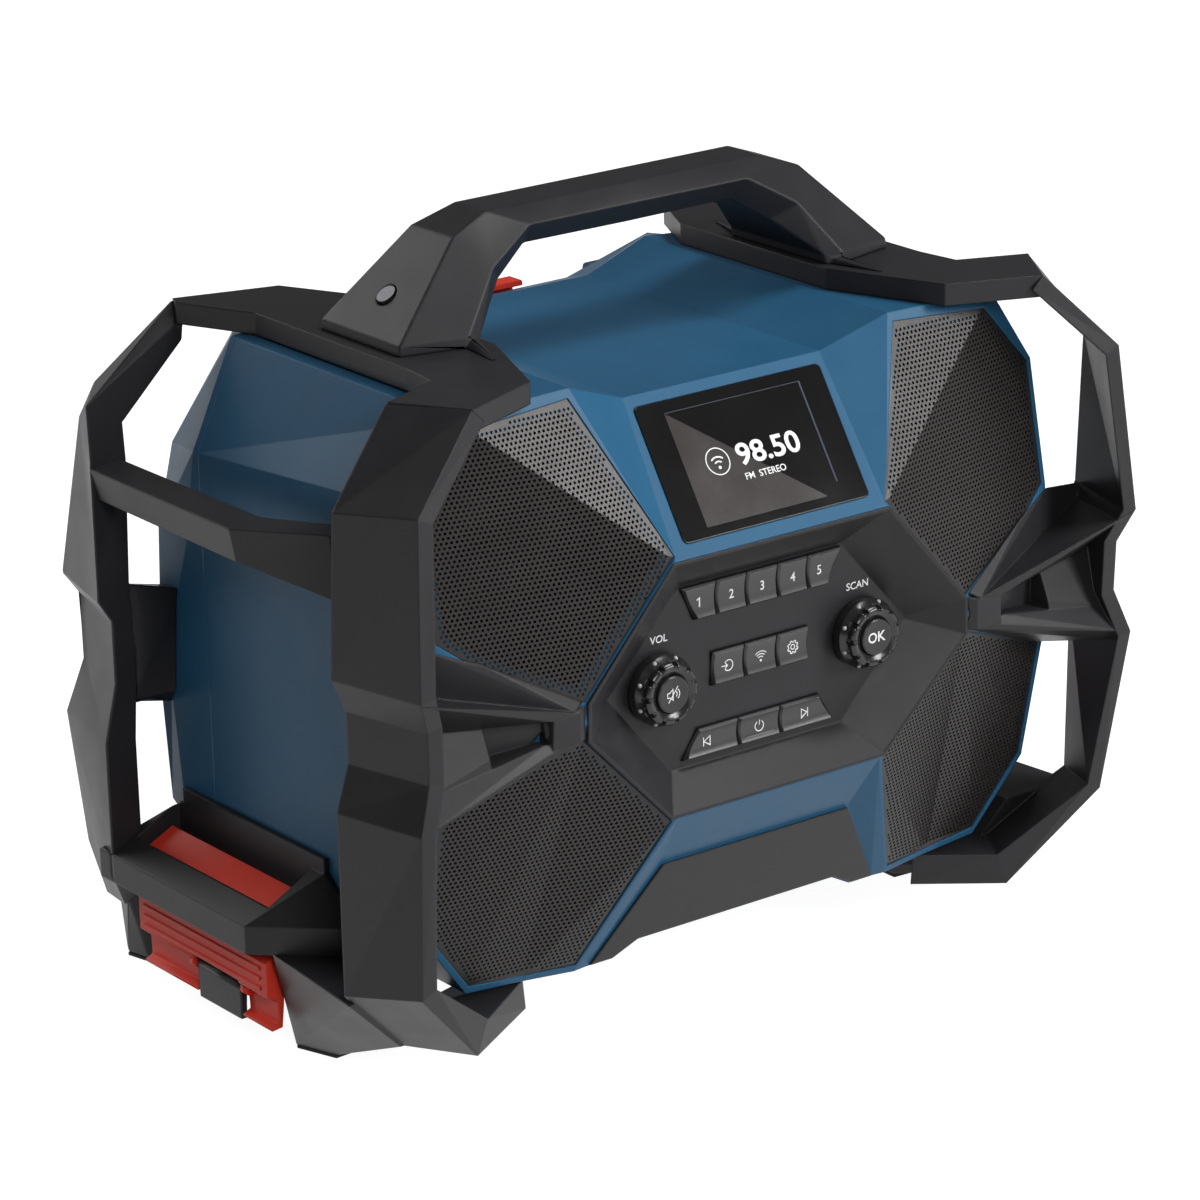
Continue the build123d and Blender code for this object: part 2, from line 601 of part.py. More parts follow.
board_rear = baffle_y + baffle_thickness
amplifier_half = 45.0
heat_sink_half = 30.0
heat_sink_depth = 18.0
amplifier_board = box(-amplifier_half, amplifier_half, board_rear, board_rear + 8, knob_z - 18, knob_z + 52)
amplifier_board += box(-heat_sink_half, heat_sink_half, board_rear + 8, board_rear + 8 + heat_sink_depth,
                       knob_z - 3, knob_z + 37)

# ---------------------------------------------------------------- roll cage, right half
flat_half = cage_half - 17.5      # half width where the straps turn in below and above the lobes
strap_front = [(cage_half - 56, -132.8, plate_top), (flat_half, -144.2, roof_outer - 28.5),
               (lobe_half, -150.8, knob_z + 34.6), (lobe_half - 7, -145.1, knob_z + 18.4),
               (lobe_half - 7.6, -144.2, knob_z - 6.2), (lobe_half + 0.2, -148.0, knob_z - 28.0),
               (flat_half, -134.7, 66.4), (cage_half - 60.7, -114.8, 20.9), (cage_half - 104, -93.0, 25.0)]
strap_rear = [(cage_half - 34, -98.5, plate_top - 1), (cage_half, -104.0, roof_outer - 31.5),
              (cage_half, -strap_inner_y, knob_z + 34.6), (cage_half - 7, -strap_inner_y, knob_z + 18.4),
              (cage_half - 7, -strap_inner_y, knob_z - 6.2), (cage_half, -strap_inner_y, knob_z - 28.0),
              (cage_half, -strap_inner_y, 62.0), (cage_half - 39.5, -81.0, 21.0), (cage_half - 81, -70.0, 21.0)]
strap_front_depth = [9.0, 8.5, 8.0, 8.0, 8.0, 8.0, 8.5, 16.0, 15.0]
strap_rear_depth = [6.0, 3.5, 3.0, 4.0, 5.0, 6.0, 8.5, 16.0, 15.0]


def inward(line, i, distance):
    """Step from station i of an (x, y, z) line towards the inside of the cage, in the XZ plane."""
    here = line[i]
    steps = []
    for a, b in ((line[max(i - 1, 0)], here), (here, line[min(i + 1, len(line) - 1)])):
        run = Vector(b[0] - a[0], 0, b[2] - a[2])
        if run.length > 0:
            steps.append(Vector(run.Z, 0, -run.X).normalized())
    middle = (steps[0] + steps[-1]).normalized()
    reach = distance / max(middle.dot(steps[0]), 0.5)
    return (here[0] + middle.X * reach, here[1], here[2] + middle.Z * reach)


def strap(near, far, near_depth, far_depth):
    """Band between two edge lines, thickened towards the inside of the cage."""
    sections = []
    for i in range(len(near)):
        sections.append([near[i], far[i], inward(far, i, far_depth[i]), inward(near, i, near_depth[i])])
    return strip(sections)


cage_front = strap(strap_front, strap_rear, strap_front_depth, strap_rear_depth)
# each side has a nose block beside the control panel, held by two arms with a recess between them
arm_end = lobe_half - 5.8
nose_block = hull([(113.0, -139.4, knob_z + 8.6), (113.0, -139.4, knob_z - 7.3), (117.2, -141.6, knob_z + 7.0),
                   (117.2, -141.6, knob_z - 7.8), (132.0, -141.4, knob_z + 5.9), (132.6, -141.2, knob_z - 7.7),
                   (134.0, -133.0, knob_z + 5.0), (134.0, -133.0, knob_z - 7.0), (114.0, -133.0, knob_z)])
ramp_tip = (132.0, -141.4, knob_z + 5.9)
ramp_heel = (119.5, -141.2, knob_z + 7.3)
ramp_outer = (lobe_half - 0.5, -150.6, knob_z + 33.7)
ramp_inner = (cage_half - 4.7, -104.6, knob_z + 30.2)
ramp = hull([ramp_tip, ramp_heel, ramp_outer, ramp_inner, (arm_end, -126.0, knob_z + 12.0),
             (arm_end, -104.0, knob_z + 12.0), (130.0, -135.0, knob_z + 4.0), (body_half - 31, -110.0, knob_z + 10.0)])
gusset = hull([ramp_heel, ramp_inner, (114.0, -138.8, knob_z + 10.2), (body_half - 22, -125.3, knob_z + 34.7),
               (body_half + 0.2, -118.3, knob_z + 43.5), (cage_half - 2.0, -100.5, knob_z + 34.2),
               (body_half - 31, -110.0, knob_z + 12.0), (arm_end, -99.0, knob_z + 24.0)])
step_tip = (136.0, -139.4, knob_z - 4.9)
step_end = (arm_end, -138.9, knob_z - 15.5)
arm_wall = hull([(arm_end, -126.0, knob_z + 14.0), (128.0, -137.5, knob_z + 5.0), step_tip, step_end,
                 (arm_end, -104.0, knob_z + 14.0), (arm_end, -104.0, knob_z - 15.5),
                 (body_half - 31, -110.0, knob_z + 8.0), (body_half - 31, -110.0, knob_z - 5.0)])
arm_wall -= hull([(x, y, z) for x, y in ((134.5, -145.0), (134.5, -134.8), (body_half - 16, -125.6),
                                         (body_half - 16, -145.0)) for z in (knob_z - 9.0, knob_z + 15.0)])
lower_arm = hull([step_tip, step_end, (131.0, -141.2, knob_z - 8.5), (arm_end, -147.4, knob_z - 26.8),
                  (arm_end, -139.0, knob_z - 33.4), (body_half - 31, -110.0, knob_z - 5.9),
                  (arm_end, -100.0, knob_z - 15.9), (arm_end, -100.0, knob_z - 35.9),
                  (body_half - 5, -117.5, knob_z - 33.9), (113.0, -139.6, knob_z - 7.1)])
arms = nose_block + ramp + gusset + arm_wall + lower_arm - front_solid
cage_front = cage_front + max(arms.solids(), key=lambda s: s.volume)
front_foot = [(cage_half - 35, -37.0), (cage_half - 27.5, -15.0), (cage_half - 65, -15.0), (cage_half - 65, -35.0)]
cage_front += hull([(cage_half - 3, -97.0, 56.0), (cage_half - 10, -25.0, 56.0), (cage_half - 45, -97.0, 56.0),
                    (cage_half - 45, -25.0, 56.0), (cage_half - 39.5, -84.0, 21.0), (cage_half - 65, -84.0, 21.0)]
                   + [(x, y, foot_pad) for x, y in front_foot])

strap_back = strap_inner_y - 2
rear_line = [(cage_half - 55, rear_y - 3.5, plate_top), (flat_half, rear_y + 9.6, roof_outer - 25.6),
             (cage_half - 16.5, rear_y + 22.8, roof_outer - 44.6), (lobe_half, rear_y + 38.0, knob_z + 19.4),
             (lobe_half - 7, rear_y + 34.2, knob_z + 8.1), (lobe_half - 7, rear_y + 34.2, knob_z - 23.3),
             (lobe_half, rear_y + 41.8, knob_z - 51.7), (flat_half, rear_y + 39.0, 57.9),
             (cage_half - 21.6, rear_y + 31.0, 31.5)]
rear_inner = [(cage_half - 51, rear_y - 10.0, roof_outer), (cage_half, rear_y - 11.0, roof_outer - 29.5),
              (cage_half, strap_back, roof_outer - 58.5), (cage_half, strap_back, knob_z + 19.4),
              (cage_half - 7, strap_back, knob_z + 8.1), (cage_half - 7, strap_back, knob_z - 23.3),
              (cage_half, strap_back, knob_z - 51.7), (cage_half, strap_back, 57.9),
              (cage_half - 14, strap_back + 14, 36.0)]
rear_line_depth = [9.0, 8.5, 8.5, 8.0, 8.0, 8.0, 8.0, 12.0, 14.0]
rear_inner_depth = [9.0, 20.0, 20.0, 18.0, 12.0, 12.0, 17.0, 17.0, 14.0]
cage_rear = strap(rear_line, rear_inner, rear_line_depth, rear_inner_depth)
rear_arm = hull([(arm_end, rear_y + 33, knob_z + 14.1), (arm_end, rear_y + 33, knob_z - 27.9),
                 (arm_end + 1, rear_y - 11, knob_z + 25.1), (arm_end + 1, rear_y - 11, knob_z - 33.9),
                 (body_half - 1, rear_y - 19, knob_z + 19.6), (body_half - 1, rear_y - 14, knob_z - 32.9),
                 (body_half - 23, rear_y + 13, knob_z + 8.1), (body_half - 23, rear_y + 13, knob_z - 49.9),
                 (body_half - 23, rear_y - 5, knob_z + 12.1), (body_half - 23, rear_y - 5, knob_z - 45.9)])
rear_foot = [(cage_half - 26, rear_y + 21.8), (cage_half - 61, rear_y + 27), (cage_half - 65, rear_y + 7),
             (cage_half - 29.3, rear_y + 7.7)]
cage_rear = cage_rear + (rear_arm - rear_solid)
cage_rear += hull([(cage_half - 23.5, rear_y + 22, 36.0), (cage_half - 18, rear_y + 6, 38.0),
                   (cage_half - 45, rear_y + 25, 52.0), (cage_half - 45, rear_y - 9, 52.0)]
                  + [(x, y, foot_pad) for x, y in rear_foot])
cage_rear -= rear_solid

# screws that hold the rear arms to the housing
screw_x = body_half - 14
screw_y = rear_y + 6
screw_radius = 2.5
head_radius = 4.5
cage_screws = []
for z in (knob_z - 39.9, knob_z - 5.9):
    screw = rod((screw_x, rear_y - shell_wall - 3, z), (screw_x, screw_y, z), screw_radius)
    screw += rod((screw_x, screw_y, z), (screw_x, screw_y + 3, z), head_radius)
    screw -= box(screw_x - 0.6, screw_x + 0.6, screw_y + 1.8, screw_y + 4, z - 3, z + 3)
    cage_screws.append(screw)
    hole = rod((screw_x, rear_y - 20, z), (screw_x, screw_y, z), screw_radius + 0.05)
    cage_rear -= hole + rod((screw_x, screw_y, z), (screw_x, screw_y + 40, z), head_radius + fit_gap)
    rear_housing = rear_housing - hole - other_side(hole)
cage_screws = both(Compound(children=[s for c in cage_screws for s in c.solids()]))

top_outline = [(97.0, -56.0), (120.4, -114.5), (cage_half - 56, -133.0), (cage_half - 35, -99.0),
               (cage_half - 68, -85.0), (cage_half - 71, -62.0), (cage_half - 71, 59.7), (cage_half - 53, rear_y - 9),
               (cage_half - 56, rear_y - 2), (115.0, rear_y - 16.5), (97.0, 56.0)]
top_plate = skin([[(x, y, roof_outer) for x, y in top_outline], [(x, y, plate_top) for x, y in top_outline]])
top_plate = top_plate - cage_front - cage_rear - rear_solid
top_plate = max(top_plate.solids(), key=lambda s: s.volume)


def rail(path):
    """Bar along a run of (x, y, inner x, lower z) stations with a ridge on its outer side."""
    sections = []
    for x, y, inner, low_z in path:
        sections.append([(x, y, rail_z), (x - 3.0, y, low_z), (inner, y, low_z), (inner, y, rail_z + 2)])
    return strip(sections)


side_rail = rail([(body_half + 11, -58.0, body_half, rail_z - 32), (cage_half, -21.0, cage_half - 17, rail_z - 16),
                  (cage_half, strap_inner_y - 1.0, cage_half - 16, rail_z - 15)])
side_rail = side_rail - cage_rear - front_solid
side_rail = max(side_rail.solids(), key=lambda s: s.volume)

rail_outline = [(body_half, -55.0), (body_half + 9, -48.0), (cage_half, -18.0), (cage_half, rear_y - 1),
                (cage_half - 12, rear_y + 3), (body_half, rear_y - 11)]
lip_width = 3.0
lip_z = tray_top - 7
pocket_outer = cage_half - 12.5
lever_room = 2.0
lower_rail = hull([(x, y, z) for x, y in rail_outline for z in (tray_low, tray_z)]
                  + [(x, y, lip_z) for x in (body_half, body_half + lip_width) for y in (-30.0, 92.0)])
lower_rail += box(body_half, body_half + lip_width, -30.0, 90.0, lip_z - 1, tray_top)
lower_rail -= box(body_half + lip_width, pocket_outer, lever_front - lever_room, lever_rear + lever_room,
                  tray_low - 5, tray_top + 5)
lower_rail = lower_rail - cage_rear - cage_front - rear_solid
lower_rail = max(lower_rail.solids(), key=lambda s: s.volume)

# ---------------------------------------------------------------- latch at each side
pin_x = cage_half - 18
pin_z = tray_z - 8
hook_x = cage_half - 14.5
hook_z = pin_z - 34
knuckle_radius = 4.0
boss_radius = 3.2
stub_play = stub_radius + pin_play
# how far inside the widest line, and how far above the pin
LEVER_PROFILE = [(31.5, 17.0), (16.4, 9.6), (16.4, -11.0), (10.5, -14.0), (10.5, -31.0), (14.5, -33.0),
                 (16.4, -35.0), (16.4, -45.4), (12.5, -47.2), (12.5, -48.6), (18.6, -47.8), (20.0, -35.0),
                 (20.0, -16.0), (22.0, -10.0), (22.0, 4.0), (31.5, 11.5)]
HOOK_PROFILE = [(16.0, -34.0), (12.5, -34.0), (12.5, -51.0), (17.5, -51.0), (17.5, -48.5), (16.0, -48.5)]


def from_pin(profile):
    return [(cage_half - x, pin_z + z) for x, z in profile]


lever = prism_y(from_pin(LEVER_PROFILE), lever_front, lever_rear)
lever -= box(cage_half - 23, cage_half - 6, hook_front - 1.5, hook_rear + 1.5, 5, hook_z + 4.5)
rib_face = cage_half - 10.5
for i in range(3):
    rib_z = hook_z + 6.5 + 5 * i
    lever += box(rib_face, rib_face + 0.8, lever_front + 5, lever_rear - 5, rib_z - 0.9, rib_z + 0.9)
lever += rod((pin_x, lever_front, pin_z), (pin_x, lever_rear, pin_z), knuckle_radius)
lever -= rod((pin_x, lever_front - 5, pin_z), (pin_x, lever_rear + 5, pin_z), pin_radius + pin_play)
for near, far in ((hook_front - 6, hook_front - 1.5), (hook_rear + 1.5, hook_rear + 6)):
    lever += rod((hook_x, near, hook_z), (hook_x, far, hook_z), boss_radius)
lever -= rod((hook_x, hook_front - 4.7, hook_z), (hook_x, hook_rear + 4.7, hook_z), stub_play)
latch_hook = prism_y(from_pin(HOOK_PROFILE), hook_front, hook_rear)
latch_hook += rod((hook_x, hook_front, hook_z), (hook_x, hook_rear, hook_z), 2.4)
latch_hook += rod((hook_x, hook_front - 4.5, hook_z), (hook_x, hook_rear + 4.5, hook_z), stub_radius)
latch_pin = rod((pin_x, lever_front - 8, pin_z), (pin_x, lever_rear + 8, pin_z), pin_radius)
lower_rail = lower_rail - latch_pin
cage_rear = cage_rear - latch_pin

# ---------------------------------------------------------------- feet
pads = []
for corners in (front_foot, rear_foot):
    pads.append(skin([[(x, y, 0.0) for x, y in corners], [(x, y, foot_pad) for x, y in corners]]))
feet = both(Compound(children=pads))

# ---------------------------------------------------------------- handle
# outer, middle and inner ridge: across, height, half depth
handle_stations = [
    ((143.0, plate_top, 31.5), (112.0, plate_top, 39.0), (101.0, plate_top, 36.0)),
    ((142.3, plate_top + 5, 31.2), (109.7, plate_top + 5, 38.8), (99.8, plate_top + 5, 35.4)),
    ((101.1, handle_top - 7.9, 16.4), (89.3, handle_top - 21.9, 30.2), (79.0, handle_top - 30, 20.0)),
    ((79.5, handle_top, 11.5), (63.7, handle_top - 6.7, 24.6), (60.0, grip_bottom + 1, 14.0)),
    ((0.0, handle_top, 11.5), (0.0, handle_top - 7.4, 22.0), (0.0, grip_bottom, 12.0)),
]


def handle_section(station):
    """Six corners of the handle's cross-section at a station."""
    (xo, zo, do), (xm, zm, dm), (xi, zi, di) = station
    return [(xo, handle_y - do, zo), (xo, handle_y + do, zo), (xm, handle_y + dm, zm),
            (xi, handle_y + di, zi), (xi, handle_y - di, zi), (xm, handle_y - dm, zm)]


def fan_skin(sections):
    """Closed solid through many-cornered sections that need not be flat."""
    count = len(sections[0])
    faces = []
    for end in (sections[0], sections[-1]):
        for i in range(1, count - 1):
            faces.append(Face(Wire.make_polygon([end[0], end[i], end[i + 1]])))
    for near, far in zip(sections, sections[1:]):
        for i in range(count):
            j = (i + 1) % count
            faces.append(Face(Wire.make_polygon([near[i], near[j], far[j]])))
            faces.append(Face(Wire.make_polygon([near[i], far[j], far[i]])))
    return Solid(Shell(faces)).clean()


arch = fan_skin([handle_section(station) for station in handle_stations])
for end in (-1, 1):
    arch += hull([(110.5, handle_y + end * 25, plate_top), (101.0, handle_y + end * 28, plate_top + 4),
                  (108.0, handle_y + end * 37, plate_top + 4), (115.0, handle_y + end * 64, plate_top),
                  (101.0, handle_y + end * 30, plate_top), (112.0, handle_y + end * 64, plate_top)])
handle = arch + other_side(arch)
bolt_foot = Vector(115.5, handle_y, plate_top + 4)
bolt_axis = Vector(10.0, 0, 13.8).normalized()
bolt_radius = 3.0
shank_end = bolt_foot + bolt_axis * 15
head_end = shank_end + bolt_axis * 5.5
bolt = rod(bolt_foot, shank_end, bolt_radius) + rod(shank_end, head_end, 4.8)
bolt_hole = rod(bolt_foot, shank_end, bolt_radius + 0.05) + rod(shank_end, shank_end + bolt_axis * 20, 5.2)
handle = handle - bolt_hole - other_side(bolt_hole)
handle_bolts = both(bolt)

# ---------------------------------------------------------------- write
save(front_housing, "front_housing")
save(rear_housing, "rear_housing")
save(baffle, "baffle")
save(control_bezel, "control_bezel")
save(display_lens, "display_lens")
save(display_module, "display_module")
for name, outline in (("upper", UPPER_GRILLE), ("lower", LOWER_GRILLE)):
    right = grille(outline)
    save(right, "grille_%s_right" % name)
    save(other_side(right), "grille_%s_left" % name)
save(speaker_baskets, "speaker_baskets")
save(speaker_cones, "speaker_cones")
save(control_board, "control_board")
save(keypad_membrane, "keypad_membrane")
save(rotary_encoders, "rotary_encoders")
save(amplifier_board, "amplifier_board")
save(bumper_panel, "bumper_panel")
for name, solid in key_solids.items():
    save(solid, name)
save(knobs["left"][0], "volume_knob")
save(knobs["left"][1], "mute_button")
save(knobs["right"][0], "scan_knob")
save(knobs["right"][1], "ok_button")
for name, shape in (("cage_front", cage_front), ("cage_rear", cage_rear), ("top_plate", top_plate),
                    ("side_rail", side_rail), ("lower_rail", lower_rail), ("latch_lever", lever),
                    ("latch_hook", latch_hook)):
    save(shape, name + "_right")
    save(other_side(shape), name + "_left")
save(both(latch_pin), "latch_pins")
save(cage_screws, "cage_screws")
save(feet, "feet")
save(handle, "handle")
save(handle_bolts, "handle_bolts")
save(rear_door, "rear_door")
save(door_hinge_pin, "door_hinge_pin")
save(door_latch, "door_latch")
save(battery_dock, "battery_dock")
save(battery_pack, "battery_pack")
save(antenna, "antenna")
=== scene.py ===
import math

import bpy
from mathutils import Matrix, Vector, geometry
from mathutils.bvhtree import BVHTree


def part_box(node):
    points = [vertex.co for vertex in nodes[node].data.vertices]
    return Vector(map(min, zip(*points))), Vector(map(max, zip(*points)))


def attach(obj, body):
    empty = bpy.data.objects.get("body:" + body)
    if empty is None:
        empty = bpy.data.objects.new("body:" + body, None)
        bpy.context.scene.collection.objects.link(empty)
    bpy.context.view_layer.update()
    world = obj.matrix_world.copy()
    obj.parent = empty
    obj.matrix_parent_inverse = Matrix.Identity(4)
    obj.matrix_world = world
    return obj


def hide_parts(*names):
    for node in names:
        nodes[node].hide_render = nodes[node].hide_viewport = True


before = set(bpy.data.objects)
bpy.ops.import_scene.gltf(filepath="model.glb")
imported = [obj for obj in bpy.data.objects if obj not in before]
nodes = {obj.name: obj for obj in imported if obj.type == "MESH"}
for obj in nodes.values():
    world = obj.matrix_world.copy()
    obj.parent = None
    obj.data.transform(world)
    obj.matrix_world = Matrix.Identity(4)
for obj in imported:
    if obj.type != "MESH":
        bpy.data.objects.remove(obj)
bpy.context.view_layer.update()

MM = 0.001
MIDDLE_HEIGHT = 0.18            # metres; the middle of the radio, between its upper and lower speakers

# ---------------------------------------------------------------- colours, 0 to 255
BLUE = (42, 91, 124)
BLACK = (42, 41, 43)
RED = (236, 66, 46)
MESH = (46, 44, 43)
KEY = (36, 35, 37)
KNOB = (34, 33, 34)
GLASS = (12, 11, 11)
WHITE = (238, 238, 238)


def linear(colour):
    """Colour from 0-255 sRGB to the linear numbers that shaders take."""
    channels = [c / 255 for c in colour]
    return [c / 12.92 if c <= 0.04045 else ((c + 0.055) / 1.055) ** 2.4 for c in channels] + [1.0]


# ---------------------------------------------------------------- finishes
COAT_ROUGHNESS = 0.12
CLOUD_SCALE = 45.0              # clouds of slightly different colour and gloss, to the metre
CLOUD_DETAIL = 4.0
SPECK_DETAIL = 2.0
GLOSS_SPREAD = 0.07             # change of roughness over the clouds, either way
TINT_ENDS = (0.35, 0.65)        # where the noise reaches the darkest and the lightest tint
GRAIN_DEPTH = 0.08 * MM
SOFTEN_SAMPLES = 6


def add_node(tree, kind, values, operation=None):
    """New node with the values of some of its inputs, by name or by number."""
    node = tree.nodes.new(kind)
    if operation:
        node.operation = operation
    for name, value in values.items():
        node.inputs[name].default_value = value
    return node


def finish_material(name, colour, roughness, grain, grain_size, mottle=0.06, coat=0.0, metallic=0.0,
                    specular=0.5, stretch=(1, 1, 1), soften=0.0):
    """Moulded or painted finish: fine bump grain, slight changes of colour and of roughness over the surface.

    grain_size and soften are in millimetres. soften rounds the light over sharp edges.
    """
    mat = bpy.data.materials.new(name)
    mat.use_nodes = True
    tree = mat.node_tree
    link = tree.links.new
    shader = tree.nodes["Principled BSDF"]
    shader.inputs["Metallic"].default_value = metallic
    shader.inputs["Coat Weight"].default_value = coat
    shader.inputs["Coat Roughness"].default_value = COAT_ROUGHNESS
    shader.inputs["Specular IOR Level"].default_value = specular

    place = add_node(tree, "ShaderNodeTexCoord", {})
    scaling = add_node(tree, "ShaderNodeMapping", {"Scale": stretch})
    clouds = add_node(tree, "ShaderNodeTexNoise", {"Scale": CLOUD_SCALE, "Detail": CLOUD_DETAIL})
    specks = add_node(tree, "ShaderNodeTexNoise", {"Scale": 1.0 / (grain_size * MM), "Detail": SPECK_DETAIL})
    link(place.outputs["Object"], scaling.inputs["Vector"])
    link(scaling.outputs["Vector"], clouds.inputs["Vector"])
    link(scaling.outputs["Vector"], specks.inputs["Vector"])

    both = add_node(tree, "ShaderNodeMath", {}, "ADD")
    tint = add_node(tree, "ShaderNodeValToRGB", {})
    half = add_node(tree, "ShaderNodeMath", {1: 0.5}, "MULTIPLY")
    base = linear(colour)[:3]
    for stop, position, change in zip(tint.color_ramp.elements, TINT_ENDS, (-mottle, mottle)):
        stop.position = position
        stop.color = [c * (1 + change) for c in base] + [1]
    link(clouds.outputs["Fac"], both.inputs[0])
    link(specks.outputs["Fac"], both.inputs[1])
    link(both.outputs[0], half.inputs[0])
    link(half.outputs[0], tint.inputs["Fac"])
    link(tint.outputs["Color"], shader.inputs["Base Color"])

    gloss = add_node(tree, "ShaderNodeMapRange", {"To Min": roughness - GLOSS_SPREAD,
                                                  "To Max": roughness + GLOSS_SPREAD})
    link(clouds.outputs["Fac"], gloss.inputs["Value"])
    link(gloss.outputs["Result"], shader.inputs["Roughness"])

    bump = add_node(tree, "ShaderNodeBump", {"Strength": grain, "Distance": GRAIN_DEPTH})
    link(specks.outputs["Fac"], bump.inputs["Height"])
    link(bump.outputs["Normal"], shader.inputs["Normal"])
    if soften:
        worn = add_node(tree, "ShaderNodeBevel", {"Radius": soften * MM})
        worn.samples = SOFTEN_SAMPLES
        link(worn.outputs["Normal"], bump.inputs["Normal"])
    return mat


FINISHES = {
    "blue_plastic": finish_material("blue_shell", BLUE, 0.40, 0.35, 0.45, mottle=0.05, specular=0.19,
                                    soften=0.9),
    "black_plastic": finish_material("black_cage", BLACK, 0.40, 0.50, 0.45, mottle=0.10, specular=0.24,
                                     soften=1.4),
    "red_plastic": finish_material("red_latch", RED, 0.40, 0.20, 0.5, mottle=0.05, specular=0.25, soften=0.5),
    "black_mesh": finish_material("grille_paint", MESH, 0.36, 0.15, 0.3, mottle=0.08, metallic=0.3,
                                  specular=0.4),
    "display_glass": finish_material("lens_glass", GLASS, 0.09, 0.0, 3.0, mottle=0.10, coat=0.6),
    "display_black": finish_material("module_black", (18, 18, 19), 0.6, 0.2, 0.6),
    "inner_plastic": finish_material("inner_black", (34, 34, 35), 0.6, 0.3, 0.6),
    "basket_steel": finish_material("basket_paint", (40, 40, 41), 0.45, 0.2, 0.4, metallic=0.5),
    "cone_black": finish_material("cone_fibre", (30, 29, 29), 0.75, 0.6, 0.7, mottle=0.15),
    "board_green": finish_material("board_green", (22, 84, 52), 0.4, 0.2, 1.5, mottle=0.12),
    "rubber": finish_material("rubber_black", (30, 30, 31), 0.8, 0.5, 0.6, mottle=0.12),
    "encoder_metal": finish_material("encoder_metal", (176, 176, 178), 0.32, 0.2, 0.5, metallic=1.0,
                                     stretch=(1, 0.1, 1)),
    "key_gloss": finish_material("key_gloss", KEY, 0.32, 0.06, 0.5, coat=0.15, specular=0.6, soften=0.35),
    "knob_black": finish_material("knob_black", KNOB, 0.22, 0.10, 0.4, specular=0.5),
    "steel": finish_material("dark_zinc", (104, 104, 108), 0.35, 0.25, 0.3, metallic=1.0, stretch=(1, 1, 0.2)),
    "antenna_black": finish_material("antenna_paint", (38, 38, 39), 0.4, 0.15, 0.4, metallic=0.3),
}
CAP_GLOSS = finish_material("cap_gloss", KEY, 0.30, 0.06, 0.5, coat=0.1, specular=0.4)
WHITE_PRINT = finish_material("white_print", WHITE, 0.55, 0.1, 0.3, mottle=0.03)
SLOT_GREY = finish_material("slot_grey", (96, 94, 94), 0.5, 0.1, 0.3, mottle=0.03)
SCREEN_LINE = finish_material("screen_line", (20, 38, 62), 0.5, 0.1, 0.3, mottle=0.04)
# painted reflection: a dark grey sheen laid on the display lens
PAINTED_SHEEN = finish_material("painted_screen_sheen", (52, 48, 46), 0.2, 0.02, 3.0, mottle=0.10, coat=0.4)
# painted highlight: the knob lumps are pale grey so that they read as lit glints, besides their own gloss
PAINTED_LUMP_HIGHLIGHT = finish_material("knob_lumps_painted_highlight", (168, 166, 166), 0.22, 0.02, 0.4, coat=0.4, specular=0.9)

# In the tables of CAD pieces, a name that ends in _ stands for every piece that starts with it.
SLOTS = {
    "front_housing": "blue_plastic", "rear_housing": "blue_plastic",
    "door_latch": "red_plastic", "latch_lever_": "red_plastic",
    "grille_": "black_mesh",
    "display_lens": "display_glass", "display_module": "display_black",
    "baffle": "inner_plastic", "battery_dock": "inner_plastic",
    "speaker_baskets": "basket_steel", "speaker_cones": "cone_black",
    "control_board": "board_green", "amplifier_board": "board_green",
    "keypad_membrane": "rubber", "feet": "rubber",
    "rotary_encoders": "encoder_metal",
    "key_": "key_gloss", "mute_button": "key_gloss", "ok_button": "key_gloss",
    "volume_knob": "knob_black", "scan_knob": "knob_black",
    "latch_pins": "steel", "handle_bolts": "steel", "door_hinge_pin": "steel", "cage_screws": "steel",
    "antenna": "antenna_black",
}


def entry(table, node, default=None):
    """What a table of CAD pieces says of one of them."""
    for name, value in table.items():
        if node == name or (name.endswith("_") and node.startswith(name)):
            return value
    return default


# ---------------------------------------------------------------- rounded edges of the CAD pieces
FOLD = 20.0                     # degrees; a flatter edge stays as it is
LONG_EDGE = 4.0 * MM
WELD_REACH = 0.004 * MM
FLAT_ANGLE = 0.6                # degrees; faces that lie flatter to each other become one
WIDE_ROUNDING = 1.0             # millimetres; a wider one gets one more strip of faces
FACE_WEIGHT = 80                # how far large faces pull the shading of their corners

# width of the rounding in millimetres, and whether only long edges get it
ROUNDINGS = {
    "handle": (1.1, False), "bumper_panel": (0.5, False), "battery_pack": (0.6, False),
    "display_lens": (0.25, False), "feet": (0.5, False), "rear_door": (0.5, True), "door_latch": (0.4, True),
    "cage_rear_": (0.9, True), "latch_lever_": (0.4, True), "latch_hook_": (0.5, True),
}


def modifier_group(name):
    """Empty geometry node group, with its input and its output node."""
    group = bpy.data.node_groups.new(name, "GeometryNodeTree")
    group.interface.new_socket("Geometry", in_out="INPUT", socket_type="NodeSocketGeometry")
    group.interface.new_socket("Geometry", in_out="OUTPUT", socket_type="NodeSocketGeometry")
    return group, group.nodes.new("NodeGroupInput"), group.nodes.new("NodeGroupOutput")


def smooth_faces():
    group, start, end = modifier_group("smooth_faces")
    shade = group.nodes.new("GeometryNodeSetShadeSmooth")
    group.links.new(start.outputs[0], shade.inputs["Geometry"])
    group.links.new(shade.outputs[0], end.inputs[0])
    return group


